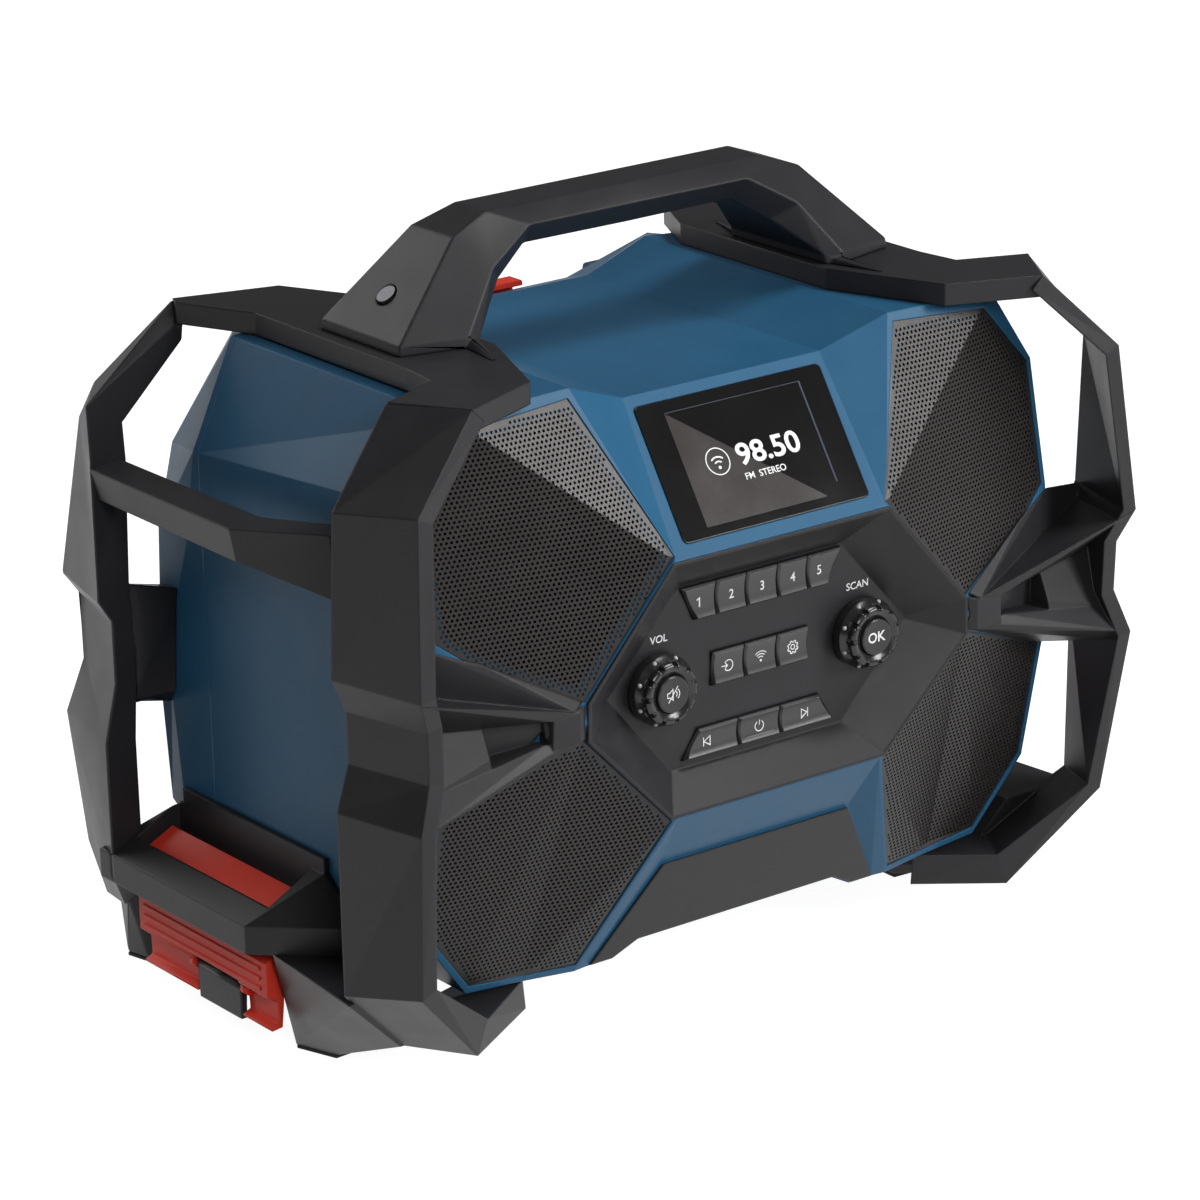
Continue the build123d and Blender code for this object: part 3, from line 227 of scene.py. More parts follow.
def long_folds():
    """Marks the folded edges that are long enough to be rounded."""
    group, start, end = modifier_group("long_folds")
    link = group.links.new
    fold = group.nodes.new("GeometryNodeInputMeshEdgeAngle")
    ends = group.nodes.new("GeometryNodeInputMeshEdgeVertices")
    length = add_node(group, "ShaderNodeVectorMath", {}, "DISTANCE")
    folded = add_node(group, "FunctionNodeCompare", {1: math.radians(FOLD)}, "GREATER_THAN")
    long = add_node(group, "FunctionNodeCompare", {1: LONG_EDGE}, "GREATER_THAN")
    chosen = add_node(group, "FunctionNodeBooleanMath", {}, "AND")
    store = group.nodes.new("GeometryNodeStoreNamedAttribute")
    store.data_type = "FLOAT"
    store.domain = "EDGE"
    store.inputs["Name"].default_value = "bevel_weight_edge"
    link(ends.outputs["Position 1"], length.inputs[0])
    link(ends.outputs["Position 2"], length.inputs[1])
    link(fold.outputs["Unsigned Angle"], folded.inputs[0])
    link(length.outputs["Value"], long.inputs[0])
    link(folded.outputs[0], chosen.inputs[0])
    link(long.outputs[0], chosen.inputs[1])
    link(start.outputs[0], store.inputs["Geometry"])
    link(chosen.outputs[0], store.inputs["Value"])
    link(store.outputs[0], end.inputs[0])
    return group


SMOOTH = smooth_faces()
LONG_FOLDS = long_folds()


def round_edges(obj, width, only_long):
    """Rounds the sharp edges of a piece with modifiers, so that they catch the light as moulded edges do."""
    weld = obj.modifiers.new("weld", "WELD")
    weld.merge_threshold = WELD_REACH
    flat = obj.modifiers.new("flat", "DECIMATE")
    flat.decimate_type = "DISSOLVE"
    flat.angle_limit = math.radians(FLAT_ANGLE)
    if only_long:
        pick = obj.modifiers.new("pick", "NODES")
        pick.node_group = LONG_FOLDS
    bevel = obj.modifiers.new("bevel", "BEVEL")
    bevel.width = width * MM
    bevel.segments = 3 if width > WIDE_ROUNDING else 2
    bevel.limit_method = "WEIGHT" if only_long else "ANGLE"
    bevel.angle_limit = math.radians(FOLD)
    bevel.use_clamp_overlap = False
    shade = obj.modifiers.new("shade", "NODES")
    shade.node_group = SMOOTH
    normals = obj.modifiers.new("normals", "WEIGHTED_NORMAL")
    normals.weight = FACE_WEIGHT
    normals.keep_sharp = False


for node, obj in nodes.items():
    obj.data.materials.clear()
    obj.data.materials.append(FINISHES[entry(SLOTS, node, "black_plastic")])
    rounding = entry(ROUNDINGS, node)
    if rounding:
        round_edges(obj, *rounding)


# ---------------------------------------------------------------- making pieces
def new_piece(name, verts, faces, mat, body, smooth=False):
    mesh = bpy.data.meshes.new(name)
    mesh.from_pydata(verts, [], faces)
    mesh.materials.append(mat)
    for face in mesh.polygons:
        face.use_smooth = smooth
    mesh.update()
    obj = bpy.data.objects.new(name, mesh)
    bpy.context.scene.collection.objects.link(obj)
    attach(obj, body)
    return obj


def thicken(obj, depth, offset):
    """Gives a sheet its thickness: outward with an offset of 1, inward with -1."""
    thick = obj.modifiers.new("thick", "SOLIDIFY")
    thick.thickness = depth
    thick.offset = offset


def sharp_by_angle(obj, angle):
    """Stops smooth shading at the edges that are folded by more than an angle, in degrees."""
    obj.data.set_sharp_from_angle(angle=math.radians(angle))


def surface_of(obj):
    mesh = obj.data
    return BVHTree.FromPolygons([v.co for v in mesh.vertices], [list(p.vertices) for p in mesh.polygons])


def depth_at(surface, x, z):
    """Depth of the surface that someone in front sees at (x, z)."""
    return surface.ray_cast(Vector((x, -1.0, z)), Vector((0, 1, 0)))[0].y


def front_centre(node):
    """Middle of a CAD piece seen from the front, as (x, z)."""
    low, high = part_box(node)
    return (low.x + high.x) / 2, (low.z + high.z) / 2


# ---------------------------------------------------------------- perforated grilles
HOLE_PITCH = 2.45 * MM
HOLE_RADIUS = 0.74 * MM
HOLE_SIDES = 8
GRILLE_EDGE = 1.0 * MM          # plain edge of a grille outside its outermost holes
GRILLE_SHEET = 0.8 * MM
GRILLE_SHARE = 0.9995           # size of a sheet against its CAD solid, so that all of it lies over the solid
MERGE_REACH = 1e-8


def inside(hull, point, reach):
    """Whether a point lies at least reach inside a convex outline that runs anticlockwise."""
    for a, b in zip(hull, hull[1:] + hull[:1]):
        edge = b - a
        if edge.x * (point.y - a.y) - edge.y * (point.x - a.x) < reach * edge.length:
            return False
    return True


def perforated(node):
    """Sheet with rows of real holes, laid on the front of a grille's CAD solid."""
    surface = surface_of(nodes[node])
    flat = [Vector((v.co.x, v.co.z)) for v in nodes[node].data.vertices]
    hull = [flat[i] for i in geometry.convex_hull_2d(flat)]
    if sum(a.x * b.y - b.x * a.y for a, b in zip(hull, hull[1:] + hull[:1])) < 0:
        hull.reverse()
    middle = sum(hull, Vector((0, 0))) / len(hull)
    hull = [middle + (p - middle) * GRILLE_SHARE for p in hull]
    points = list(hull)
    loops = [list(range(len(hull)))]
    row_height = HOLE_PITCH * math.sqrt(3) / 2
    low = min(p.y for p in hull)
    high = max(p.y for p in hull)
    count = int(max(abs(p.x) for p in hull) / HOLE_PITCH) + 2
    for row in range(int(low / row_height), int(high / row_height) + 2):
        shift = HOLE_PITCH / 2 if row % 2 else 0.0
        for column in range(-count, count + 1):
            centre = Vector((column * HOLE_PITCH + shift, row * row_height))
            if not inside(hull, centre, HOLE_RADIUS + GRILLE_EDGE):
                continue
            first = len(points)
            for side in range(HOLE_SIDES):
                angle = 2 * math.pi * (side + 0.5) / HOLE_SIDES
                points.append(centre + HOLE_RADIUS * Vector((math.cos(angle), math.sin(angle))))
            loops.append(list(range(first, first + HOLE_SIDES)))
    out = geometry.delaunay_2d_cdt(points, [], loops, 1, MERGE_REACH, True)
    flat_points, triangles, sources = out[0], out[2], out[5]
    verts = [(p.x, depth_at(surface, p.x, p.y), p.y) for p in flat_points]
    # a triangle that comes from the outline alone is sheet, the others fill holes
    faces = [list(triangle) for triangle, source in zip(triangles, sources) if list(source) == [0]]
    sheet = new_piece("sheet_" + node, verts, faces, FINISHES["black_mesh"], "radio")
    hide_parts(node)
    thicken(sheet, GRILLE_SHEET, -1)


for node in nodes:
    if node.startswith("grille_"):
        perforated(node)


# ---------------------------------------------------------------- knobs
TEETH = 11
TEETH_OUTER = 15.0 * MM
TEETH_INNER = 12.6 * MM
NOTCH = 0.34                    # share of a tooth's turn that its notch takes
NOTCH_SLOPE = 0.05              # share that each flank of a notch takes
NOTCH_DEPTH = 1.5 * MM
KNOB_STEPS = 330
KNOB_SHARP = 32                 # degrees
LUMPS = 8
LUMP_RADIUS = 1.15 * MM
LUMP_INSET = 1.2 * MM           # from the rim of the knob
LUMP_BEHIND = 6.0 * MM          # the front of the knob
LUMP_STEPS = 16
LUMP_RINGS = 8
CAP_PLAY = 0.3 * MM             # round a cap in its knob
CAP_SHARP = 50                  # degrees


def profile_of(*rows):
    """Profile points, from rows of (a radius, millimetres more, a depth, millimetres more)."""
    return [(radius + wider * MM, y + deeper * MM) for radius, wider, y, deeper in rows]


def turned(name, profile, centre, mat, body, steps=96, shape=None):
    """Surface turned about a line along Y through centre (x, z).

    profile runs (radius, y) from the outside to the middle. shape changes a radius by its angle.
    """
    verts, faces, rings = [], [], []
    for radius, y in profile:
        if radius == 0:
            rings.append([len(verts)] * steps)
            verts.append((centre[0], y, centre[1]))
            continue
        ring = []
        for i in range(steps):
            angle = 2 * math.pi * i / steps
            reach = shape(radius, angle) if shape else radius
            ring.append(len(verts))
            verts.append((centre[0] + reach * math.cos(angle), y, centre[1] + reach * math.sin(angle)))
        rings.append(ring)
    for near, far in zip(rings, rings[1:]):
        for i in range(steps):
            j = (i + 1) % steps
            corners = [near[i], near[j], far[j], far[i]]
            faces.append([c for k, c in enumerate(corners) if c != corners[k - 1]])
    return new_piece(name, verts, faces, mat, body, smooth=True)


def knob_teeth(radius, angle):
    """Broad teeth with notches between them round the front part of a knob."""
    if radius > TEETH_OUTER or radius < TEETH_INNER:
        return radius
    place = (angle / (2 * math.pi) * TEETH) % 1.0
    notch = max(0.0, min(1.0, (NOTCH / 2 - abs(place - 0.5)) / NOTCH_SLOPE))
    return radius - NOTCH_DEPTH * notch


def lumps(knob, centre, reach, y):
    """Small shiny domes round the skirt of a knob, which give the fingers hold. Their pale grey is a painted
    highlight.
    """
    verts, faces = [], []
    steps, rings = LUMP_STEPS, LUMP_RINGS
    for i in range(LUMPS):
        middle = 2 * math.pi * (i + 0.5) / LUMPS
        x0 = centre[0] + reach * math.cos(middle)
        z0 = centre[1] + reach * math.sin(middle)
        first = len(verts)
        verts.append((x0, y - LUMP_RADIUS, z0))
        for k in range(1, rings):
            fall = math.pi * k / rings
            for j in range(steps):
                angle = 2 * math.pi * j / steps
                verts.append((x0 + LUMP_RADIUS * math.sin(fall) * math.cos(angle),
                              y - LUMP_RADIUS * math.cos(fall),
                              z0 + LUMP_RADIUS * math.sin(fall) * math.sin(angle)))
        verts.append((x0, y + LUMP_RADIUS, z0))
        last = len(verts) - 1
        end = last - steps
        for j in range(steps):
            after = (j + 1) % steps
            faces.append([first, first + 1 + j, first + 1 + after])
            for k in range(rings - 2):
                near, far = first + 1 + k * steps, first + 1 + (k + 1) * steps
                faces.append([near + j, far + j, far + after, near + after])
            faces.append([end + j, last, end + after])
    new_piece("lumps_" + knob, verts, faces, PAINTED_LUMP_HIGHLIGHT, knob, smooth=True)


for knob, cap in (("volume_knob", "mute_button"), ("scan_knob", "ok_button")):
    centre = front_centre(knob)
    low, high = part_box(knob)
    rim = (high.x - low.x) / 2
    face, back = low.y, high.y
    cap_low, cap_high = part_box(cap)
    cap_rim = (cap_high.x - cap_low.x) / 2
    bore = cap_rim + CAP_PLAY
    profile = profile_of(
        (0, 3.2, back, -0.4), (rim, -1.2, back, 0), (rim, -0.4, back, -0.4), (rim, 0, back, -1.2),
        (rim, 0, face, 7.0), (rim, -0.5, face, 6.3), (rim, -1.9, face, 4.6),
        (0, 14.9, face, 4.3), (0, 14.7, face, 4.0), (0, 14.7, face, 1.2),
        (0, 14.1, face, 0.4), (0, 13.1, face, 0), (0, 12.4, face, 0.1),
        (bore, 0.5, face, 1.1), (bore, 0, face, 1.5), (bore, 0, face, 5.0),
        (0, 3.2, face, 5.0), (0, 3.2, back, -0.4))
    grip = turned("grip_" + knob, profile, centre, FINISHES["knob_black"], knob, KNOB_STEPS,
                  knob_teeth)
    sharp_by_angle(grip, KNOB_SHARP)
    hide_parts(knob)
    lumps(knob, centre, rim - LUMP_INSET, face + LUMP_BEHIND)
    front, rear = cap_low.y, cap_high.y
    profile = profile_of(
        (0, 0, rear, 0), (cap_rim, -0.3, rear, 0), (cap_rim, 0, rear, -0.3),
        (cap_rim, 0, front, 0.7), (cap_rim, -0.2, front, 0.2), (cap_rim, -0.7, front, 0),
        (cap_rim, -1.6, front, 0.15), (cap_rim * 0.5, 0, front, 0.5), (0, 0, front, 0.6))
    dish = turned("dish_" + cap, profile, centre, CAP_GLOSS, cap)
    sharp_by_angle(dish, CAP_SHARP)
    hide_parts(cap)


# ---------------------------------------------------------------- keys
KEY_ROWS = 12
KEY_SHARP = 20                  # degrees
SCOOP = 1.25 * MM
SAME_CORNER = 0.01 * MM
AHEAD_OF_BACK = 0.1 * MM


def scooped_key(node):
    """Key whose front is hollowed from top to bottom, between the corners of its CAD solid."""
    corners = []
    for v in nodes[node].data.vertices:
        if all((v.co - c).length > SAME_CORNER for c in corners):
            corners.append(v.co.copy())
    back = max(c.y for c in corners)
    middle = sum(corners, Vector()) / len(corners)
    quarters = {}               # by (right, upper)
    for c in corners:
        if c.y < back - AHEAD_OF_BACK:
            quarters.setdefault((c.x > middle.x, c.z > middle.z), []).append(c)
    side = {quarter: max(pair, key=lambda c: c.y) for quarter, pair in quarters.items()}
    crown = {quarter: min(pair, key=lambda c: c.y) for quarter, pair in quarters.items()}
    verts, faces = [], []
    wide = 6                    # points from side to side in a row, with the two at the back
    for k in range(KEY_ROWS + 1):
        share = k / KEY_ROWS
        sink = Vector((0, SCOOP * (1 - (2 * share - 1) ** 2), 0))
        row = [ring[(right, False)].lerp(ring[(right, True)], share) + sink
               for ring, right in ((side, False), (crown, False), (crown, True), (side, True))]
        left, end = row[0].copy(), row[-1].copy()
        left.y = end.y = back
        verts += [left] + row + [end]
    for a in range(0, KEY_ROWS * wide, wide):
        for j in range(a, a + wide - 1):
            faces.append([j, j + 1, j + 1 + wide, j + wide])
        faces.append([a + wide, a + 2 * wide - 1, a + wide - 1, a])
    for a, upper in ((0, False), (KEY_ROWS * wide, True)):
        for loop in ([a, a + 1, a + 4, a + 5], [a + 1, a + 2, a + 3, a + 4]):
            faces.append(loop if upper else loop[::-1])
    piece = new_piece("scooped_" + node, verts, faces, FINISHES["key_gloss"], node, smooth=True)
    sharp_by_angle(piece, KEY_SHARP)
    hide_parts(node)
    return surface_of(piece)


key_surfaces = {node: scooped_key(node) for node in nodes if node.startswith("key_")}


# ---------------------------------------------------------------- speakers
SEAT_DEPTH = 4.0 * MM           # of a speaker's seat, behind the front of its CAD solid
SLEEVE_INSET = 0.6 * MM         # of the sleeve round a speaker, from the rim of its CAD solid
SLEEVE_OVERLAP = 0.5 * MM       # of the sleeve, behind the seat
ROLL_WIDTH = 9.0 * MM           # of the rubber roll
ROLL_RISE = 0.36                # its height against its width
ROLL_INSET = 1.4 * MM
ROLL_AHEAD = 3.6 * MM           # of the seat
ROLL_STEPS = 8
CONE_INSET = 1.6 * MM           # besides the width of the roll
CONE_AHEAD = 3.4 * MM           # of the seat, at its outer edge
CONE_DEPTH = 15.0 * MM
CONE_RIBS = 4
RIB_STEPS = 4
RIB_HEIGHT = 0.5 * MM
DUST_CAP = 0.36                 # its radius against the speaker's
DUST_CAP_RISE = 0.5             # its height against its radius
DUST_CAP_STEPS = 8


def speaker(index, x, z, radius, seat):
    """Rubber roll, ribbed cone and dust cap in front of one basket."""
    sleeve = radius - SLEEVE_INSET
    profile = [(sleeve, seat + SLEEVE_OVERLAP), (sleeve, seat - ROLL_AHEAD)]
    for i in range(ROLL_STEPS + 1):
        angle = math.pi * i / ROLL_STEPS
        profile.append((radius - ROLL_INSET - ROLL_WIDTH / 2 + ROLL_WIDTH / 2 * math.cos(angle),
                        seat - ROLL_AHEAD - ROLL_RISE * ROLL_WIDTH * math.sin(angle)))
    inner = radius - CONE_INSET - ROLL_WIDTH
    cap = DUST_CAP * radius
    top = seat - CONE_AHEAD
    for i in range(CONE_RIBS * RIB_STEPS + 1):
        share = i / (CONE_RIBS * RIB_STEPS)
        wave = RIB_HEIGHT * math.sin(2 * math.pi * share * CONE_RIBS)
        profile.append((inner + (cap - inner) * share, top + CONE_DEPTH * share + wave))
    for i in range(1, DUST_CAP_STEPS + 1):
        angle = math.pi / 2 * i / DUST_CAP_STEPS
        profile.append((cap * math.cos(angle) if i < DUST_CAP_STEPS else 0,
                        top + CONE_DEPTH - DUST_CAP_RISE * cap * math.sin(angle)))
    return turned("driver_%d" % index, profile, (x, z), FINISHES["cone_black"], "radio")


cone_points = [v.co for v in nodes["speaker_cones"].data.vertices]
speaker_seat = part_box("speaker_cones")[0].y + SEAT_DEPTH
for i, (side, upper) in enumerate(((-1, True), (-1, False), (1, True), (1, False))):
    rim = [p for p in cone_points if p.x * side > 0 and (p.z > MIDDLE_HEIGHT) == upper]
    x0, x1 = min(p.x for p in rim), max(p.x for p in rim)
    z0, z1 = min(p.z for p in rim), max(p.z for p in rim)
    driver = speaker(i, (x0 + x1) / 2, (z0 + z1) / 2, (x1 - x0) / 2, speaker_seat)
    if i == 0:
        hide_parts("speaker_cones")


# ---------------------------------------------------------------- printed marks, drawn flat in millimetres
PRINT_LIFT = 0.03 * MM          # how far printed marks stand off what carries them
PRINT_DEPTH = 0.08 * MM
STROKE = 0.46                   # millimetres
CAPITAL_SHARE = 0.73            # height of a capital against the font's size
LETTER_STEPS = 4                # of each curve in a letter
SHARPEST_CORNER = 0.4           # keeps the corners of a line from running far out


def words(text, height, weight=0.0, width=1.0):
    """Words centred on the origin: points and faces. weight makes the letters bolder, width makes them wider."""
    curve = bpy.data.curves.new("words", "FONT")
    curve.body = text
    curve.size = height * MM / CAPITAL_SHARE
    curve.offset = weight * MM
    curve.resolution_u = LETTER_STEPS
    holder = bpy.data.objects.new("words", curve)
    bpy.context.scene.collection.objects.link(holder)
    bpy.context.view_layer.update()
    mesh = bpy.data.meshes.new_from_object(holder.evaluated_get(bpy.context.evaluated_depsgraph_get()))
    points = [Vector((v.co.x * width, v.co.y)) for v in mesh.vertices]
    faces = [list(p.vertices) for p in mesh.polygons]
    bpy.data.objects.remove(holder)
    bpy.data.curves.remove(curve)
    bpy.data.meshes.remove(mesh)
    middle = Vector(((min(p.x for p in points) + max(p.x for p in points)) / 2,
                     (min(p.y for p in points) + max(p.y for p in points)) / 2))
    return [p - middle for p in points], faces


def line(points, width=STROKE, closed=False):
    """Flat ribbon of even width along a run of points."""
    points = [Vector((x * MM, y * MM)) for x, y in points]
    count = len(points)
    sides = []
    for i, here in enumerate(points):
        before = here - points[i - 1] if closed or i > 0 else points[1] - here
        after = points[(i + 1) % count] - here if closed or i < count - 1 else here - points[i - 1]
        turn = (before.normalized() + after.normalized()).normalized()
        across = Vector((-turn.y, turn.x))
        slant = across.dot(Vector((-before.y, before.x)).normalized())
        reach = width * MM / 2 / max(SHARPEST_CORNER, slant)
        sides += [here + across * reach, here - across * reach]
    faces = []
    for i in range(count if closed else count - 1):
        j = (i + 1) % count
        faces.append([2 * i, 2 * i + 1, 2 * j + 1, 2 * j])
    return sides, faces


def patch(points):
    """Flat shape with one face, from its corners."""
    return [Vector((x * MM, y * MM)) for x, y in points], [list(range(len(points)))]


def arc(radius, start, end, centre=(0, 0), steps=20):
    return [(centre[0] + radius * math.cos(math.radians(start + (end - start) * i / steps)),
             centre[1] + radius * math.sin(math.radians(start + (end - start) * i / steps)))
            for i in range(steps + 1)]


def circle(radius, steps=20, width=STROKE):
    return line(arc(radius, 0, 360, steps=steps)[:-1], width, closed=True)


def dot(radius, centre):
    return patch(arc(radius, 0, 360, centre, 16)[:-1])


def waves(radii, start, centre, width=STROKE):
    """Arcs that open upward from a point, as radio waves are drawn."""
    return [line(arc(radius, start, 180 - start, centre), width) for radius in radii]


def printed(name, flat, surface, at, body, mat=WHITE_PRINT, squash=1.0, lift=PRINT_LIFT,
            depth=PRINT_DEPTH):
    """Thin print laid on a surface at (x, z). flat is a list of (points, faces) in the plane of the surface."""
    verts, faces = [], []
    for points, shape in flat:
        first = len(verts)
        for p in points:
            x = at[0] + p.x
            z = at[1] + p.y * squash
            verts.append((x, depth_at(surface, x, z) - lift, z))
        for face in shape:
            a, b, c = (verts[first + i] for i in face[:3])
            turn = (b[0] - a[0]) * (c[2] - a[2]) - (b[2] - a[2]) * (c[0] - a[0])
            faces.append([first + i for i in (face if turn > 0 else reversed(face))])
    thicken(new_piece(name, verts, faces, mat, body), depth, 1)


def gear_icon():
    points = []
    teeth = 8
    for i in range(teeth):
        for share, radius in ((-0.30, 2.45), (-0.18, 3.15), (0.18, 3.15), (0.30, 2.45)):
            angle = 2 * math.pi * (i + 0.5 + share) / teeth
            points.append((radius * math.cos(angle), radius * math.sin(angle)))
    return [line(points, closed=True), circle(1.15)]


ICONS = {
    "key_source": [line(arc(2.6, -145, 145)), line([(-4.0, 0), (-0.4, 0)]),
                   line([(-1.8, 1.3), (-0.5, 0), (-1.8, -1.3)])],
    "key_wireless": [dot(0.62, (0, -2.1))] + waves((1.9, 3.2, 4.5), 45, (0, -2.1)),
    "key_settings": gear_icon(),
    "key_previous": [line([(-1.9, -2.2), (-1.9, 2.2)]), line([(1.9, -2.2), (1.9, 2.2), (-1.6, 0)], closed=True)],
    "key_power": [line(arc(2.5, 120, 420)), line([(0, 0.4), (0, 3.0)])],
    "key_next": [line([(1.9, -2.2), (1.9, 2.2)]), line([(-1.9, -2.2), (1.6, 0), (-1.9, 2.2)], closed=True)],
    "key_1": [line([(-1.15, 1.15), (0.45, 2.0)], 0.72), line([(0.35, 2.35), (0.35, -2.3)], 0.78)],
}
for number in range(2, 6):
    ICONS["key_%d" % number] = [words(str(number), 4.6, 0.06, 0.94)]
SHIFTS = {"key_5": -3.3, "key_previous": -2.6, "key_next": -1.6}    # millimetres; these keys slant at one end
for node, flat in ICONS.items():
    x, z = front_centre(node)
    printed("mark_" + node, flat, key_surfaces[node], (x + SHIFTS.get(node, 0.0) * MM, z), node)

POWER_BAR = patch([(-8.4, -0.25), (8.4, -0.25), (8.4, 0.25), (-8.4, 0.25)])
POWER_BAR_HEIGHT = 2.9 * MM     # over the lower edge of its key
at = (front_centre("key_power")[0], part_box("key_power")[0].z + POWER_BAR_HEIGHT)
printed("power_bar", [POWER_BAR], key_surfaces["key_power"], at, "key_power", mat=SLOT_GREY)

MUTE = [line([(-3.4, -1.1), (-2.1, -1.1), (-0.3, -2.6), (-0.3, 2.6), (-2.1, 1.1), (-3.4, 1.1)], closed=True),
        line(arc(1.5, -55, 55, (0.6, 0))), line(arc(2.9, -50, 50, (0.6, 0))),
        line([(-2.9, -3.5), (2.6, 3.7)])]
for cap, flat in (("mute_button", MUTE), ("ok_button", [words("OK", 5.1, 0.11)])):
    dished = surface_of(bpy.data.objects["dish_" + cap])
    printed("mark_" + cap, flat, dished, front_centre(cap), cap)

LABEL_RISE = 23.0 * MM          # of a label over the middle of its knob
LABEL_SHIFT = 1.5 * MM          # toward the middle of the radio
bezel_surface = surface_of(nodes["control_bezel"])
for knob, label, shift in (("volume_knob", "VOL", LABEL_SHIFT), ("scan_knob", "SCAN", -LABEL_SHIFT)):
    x, z = front_centre(knob)
    printed("label_" + label.lower(), [words(label, 3.8, 0.04)], bezel_surface, (x + shift, z + LABEL_RISE),
            "radio")

# display: a plain frequency readout where the screen shows its picture
LENS_RISE = 0.836               # height of the tilted lens against its length
SCREEN_INSET = (15.0, 6.0)      # millimetres, from the lens's ends and from its long edges
SHEEN_SHARE = 0.8                 # of the screen's half length or width: where the painted sheen ends along the bottom, and where the right line ends
SHEEN_LIFT = 0.008 * MM         # the painted sheen, a painted reflection on the screen, lies under the readout
SHEEN_DEPTH = 0.015 * MM
lens_low, lens_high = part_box("display_lens")
lens_surface = surface_of(nodes["display_lens"])
lens_x, lens_z = front_centre("display_lens")
half_x = (lens_high.x - lens_low.x) / 2 / MM - SCREEN_INSET[0]
half_z = (lens_high.z - lens_low.z) / 2 / LENS_RISE / MM - SCREEN_INSET[1]


def on_screen(name, flat, x=0, z=0, mat=WHITE_PRINT, lift=PRINT_LIFT, depth=PRINT_DEPTH):
    at = (lens_x + x * MM, lens_z + z * MM * LENS_RISE)
    printed(name, flat, lens_surface, at, "radio", mat, LENS_RISE, lift, depth)


# painted reflection: a grey triangle of sheen over the lower left of the screen, under the readout
on_screen("painted_screen_sheen", [patch([(-half_x, -half_z), (half_x * SHEEN_SHARE, -half_z), (-half_x, half_z)])],
          mat=PAINTED_SHEEN, lift=SHEEN_LIFT, depth=SHEEN_DEPTH)
on_screen("screen_top", [line([(-half_x, half_z), (half_x, half_z)], 0.3)], mat=SCREEN_LINE)
on_screen("screen_right", [line([(half_x, half_z), (half_x, -half_z * SHEEN_SHARE)], 0.9)], mat=SCREEN_LINE)
on_screen("readout_icon", [circle(6.4, 40, 0.5), dot(0.8, (0, -3.0))] + waves((2.9, 5.1), 50, (0, -3.0), 0.7),
          -20.5, 0.5)
on_screen("readout", [words("98.50", 10.6, 0.28, 1.14)], 9, 1)
on_screen("readout_band", [words("FM  STEREO", 3.3, 0.03)], 3, -9.5)

# ---------------------------------------------------------------- floor, light and camera
FLOOR_HALF = 12.0
FLOOR_GREY = 0.32
FLOOR_LIFT = 0.95               # what the camera sees of the floor beyond its lit colour
WORLD_LIGHT = 0.10              # light that the world gives; the camera sees it as white


def seen_by(tree, first, second):
    """Socket that is 1 for two kinds of ray and 0 for the rest."""
    path = tree.nodes.new("ShaderNodeLightPath")
    seen = add_node(tree, "ShaderNodeMath", {}, "MAXIMUM")
    tree.links.new(path.outputs[first], seen.inputs[0])
    tree.links.new(path.outputs[second], seen.inputs[1])
    return seen.outputs[0]


def floor():
    size = FLOOR_HALF
    mesh = bpy.data.meshes.new("floor")
    mesh.from_pydata([(-size, -size, 0), (size, -size, 0), (size, size, 0), (-size, size, 0)], [], [[0, 1, 2, 3]])
    mat = bpy.data.materials.new("pale_floor")
    mat.use_nodes = True
    tree = mat.node_tree
    shader = tree.nodes["Principled BSDF"]
    shader.inputs["Base Color"].default_value = (FLOOR_GREY, FLOOR_GREY, FLOOR_GREY, 1)
    shader.inputs["Roughness"].default_value = 0.9
    shader.inputs["Specular IOR Level"].default_value = 0.1
    shader.inputs["Emission Color"].default_value = (1, 1, 1, 1)
    seen = seen_by(tree, "Is Camera Ray", "Is Glossy Ray")
    lift = add_node(tree, "ShaderNodeMath", {1: FLOOR_LIFT}, "MULTIPLY")
    tree.links.new(seen, lift.inputs[0])
    tree.links.new(lift.outputs[0], shader.inputs["Emission Strength"])
    mesh.materials.append(mat)
    obj = bpy.data.objects.new("floor", mesh)
    bpy.context.scene.collection.objects.link(obj)


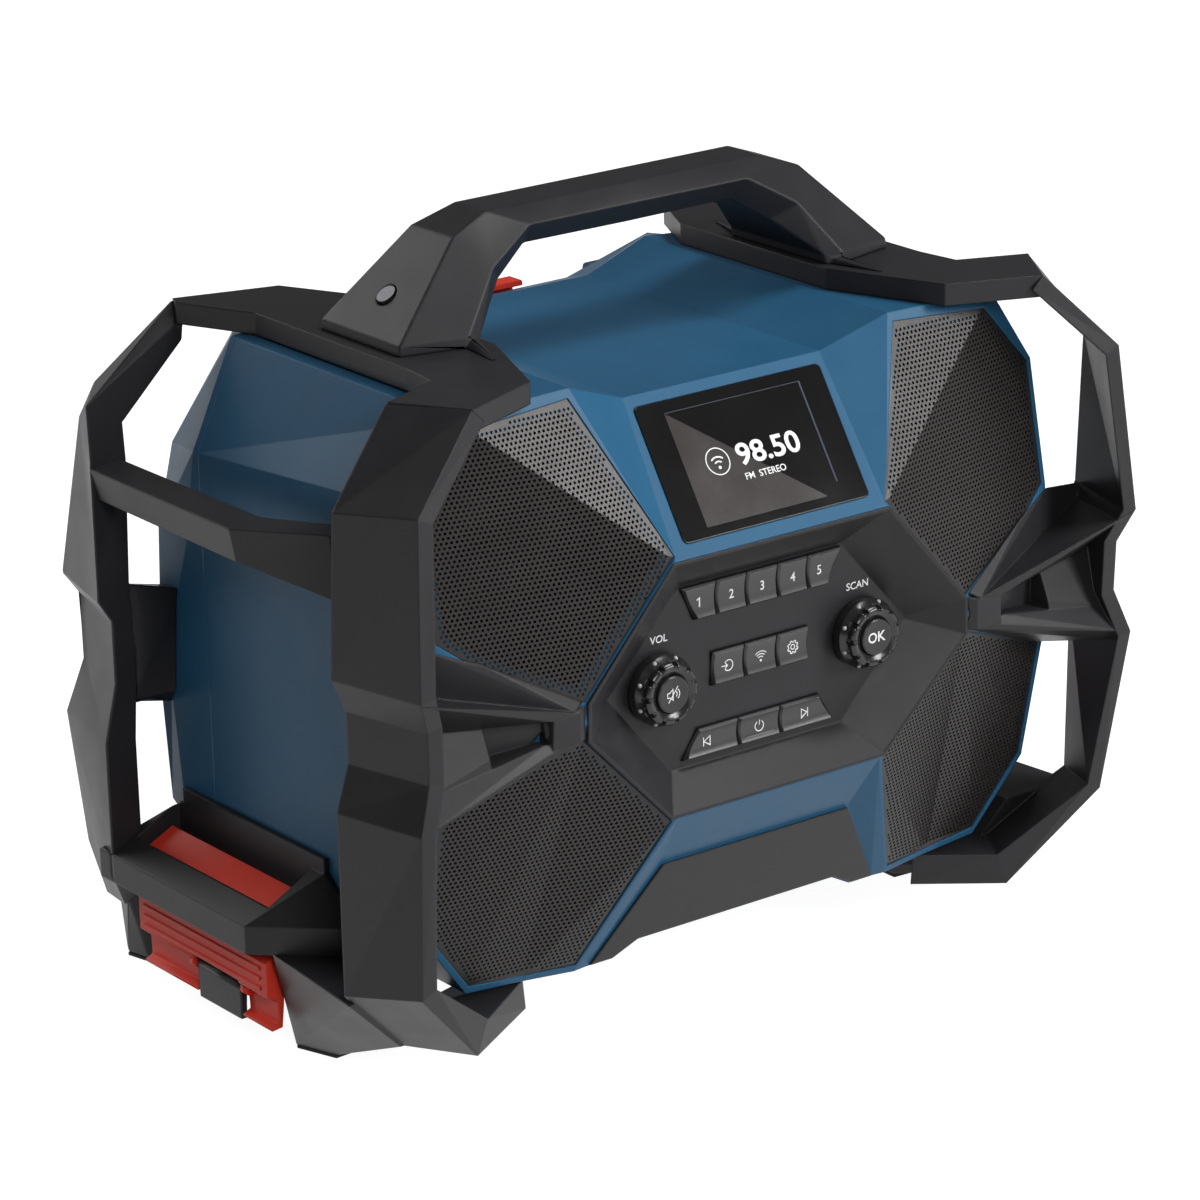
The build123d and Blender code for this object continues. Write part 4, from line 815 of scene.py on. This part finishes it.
def studio():
    world = bpy.data.worlds.new("studio")
    bpy.context.scene.world = world
    world.use_nodes = True
    tree = world.node_tree
    background = tree.nodes["Background"]
    background.inputs["Color"].default_value = (1, 1, 1, 1)
    seen = seen_by(tree, "Is Camera Ray", "Is Transmission Ray")
    strength = add_node(tree, "ShaderNodeMapRange", {"To Min": WORLD_LIGHT, "To Max": 1.0})
    tree.links.new(seen, strength.inputs["Value"])
    tree.links.new(strength.outputs["Result"], background.inputs["Strength"])


floor()
studio()

LAMP_DISTANCE = 2.6             # metres
LAMP_TARGET = Vector((0, 0, MIDDLE_HEIGHT))
LAMPS = {                       # direction seen from the radio, side in metres, power in watts
    "front_right": ((0.50, -0.78, 0.37), 0.85, 37.0),
    "front_left": ((-0.36, -0.81, 0.46), 0.75, 20.0),
    "rim_back": ((-0.28, 0.84, 0.46), 1.5, 20.0),
    "high": ((0.36, -0.34, 0.87), 0.8, 34.0),
}
for name, (toward, size, power) in LAMPS.items():
    light = bpy.data.lights.new(name, "AREA")
    light.shape = "SQUARE"
    light.size = size
    light.energy = power
    obj = bpy.data.objects.new(name, light)
    direction = Vector(toward).normalized()
    obj.location = LAMP_TARGET + direction * LAMP_DISTANCE
    obj.rotation_euler = direction.to_track_quat("Z", "Y").to_euler()
    bpy.context.scene.collection.objects.link(obj)

AZIMUTH, ELEVATION, ROLL = (math.radians(a) for a in (-36.78, 18.99, -1.307))
CAMERA_AT = (-1.3521, -1.8097, 0.9517)
SENSOR_WIDTH = 36.0             # millimetres
FOCAL_LENGTH = 149.07           # millimetres
SEES_AS_FAR_AS = 50.0
back = Vector((math.sin(AZIMUTH) * math.cos(ELEVATION), -math.cos(AZIMUTH) * math.cos(ELEVATION),
               math.sin(ELEVATION)))
right = (-back).cross(Vector((0, 0, 1))).normalized()
up = right.cross(-back)
turned_right = math.cos(ROLL) * right + math.sin(ROLL) * up
turned_up = -math.sin(ROLL) * right + math.cos(ROLL) * up
camera = bpy.data.objects.new("camera", bpy.data.cameras.new("camera"))
camera.data.sensor_width = SENSOR_WIDTH
camera.data.lens = FOCAL_LENGTH
camera.data.clip_end = SEES_AS_FAR_AS
camera.matrix_world = Matrix.Translation(CAMERA_AT) @ Matrix(
    (turned_right, turned_up, back)).transposed().to_4x4()
bpy.context.scene.collection.objects.link(camera)
bpy.context.scene.camera = camera

scene = bpy.context.scene
scene.view_settings.view_transform = "Standard"
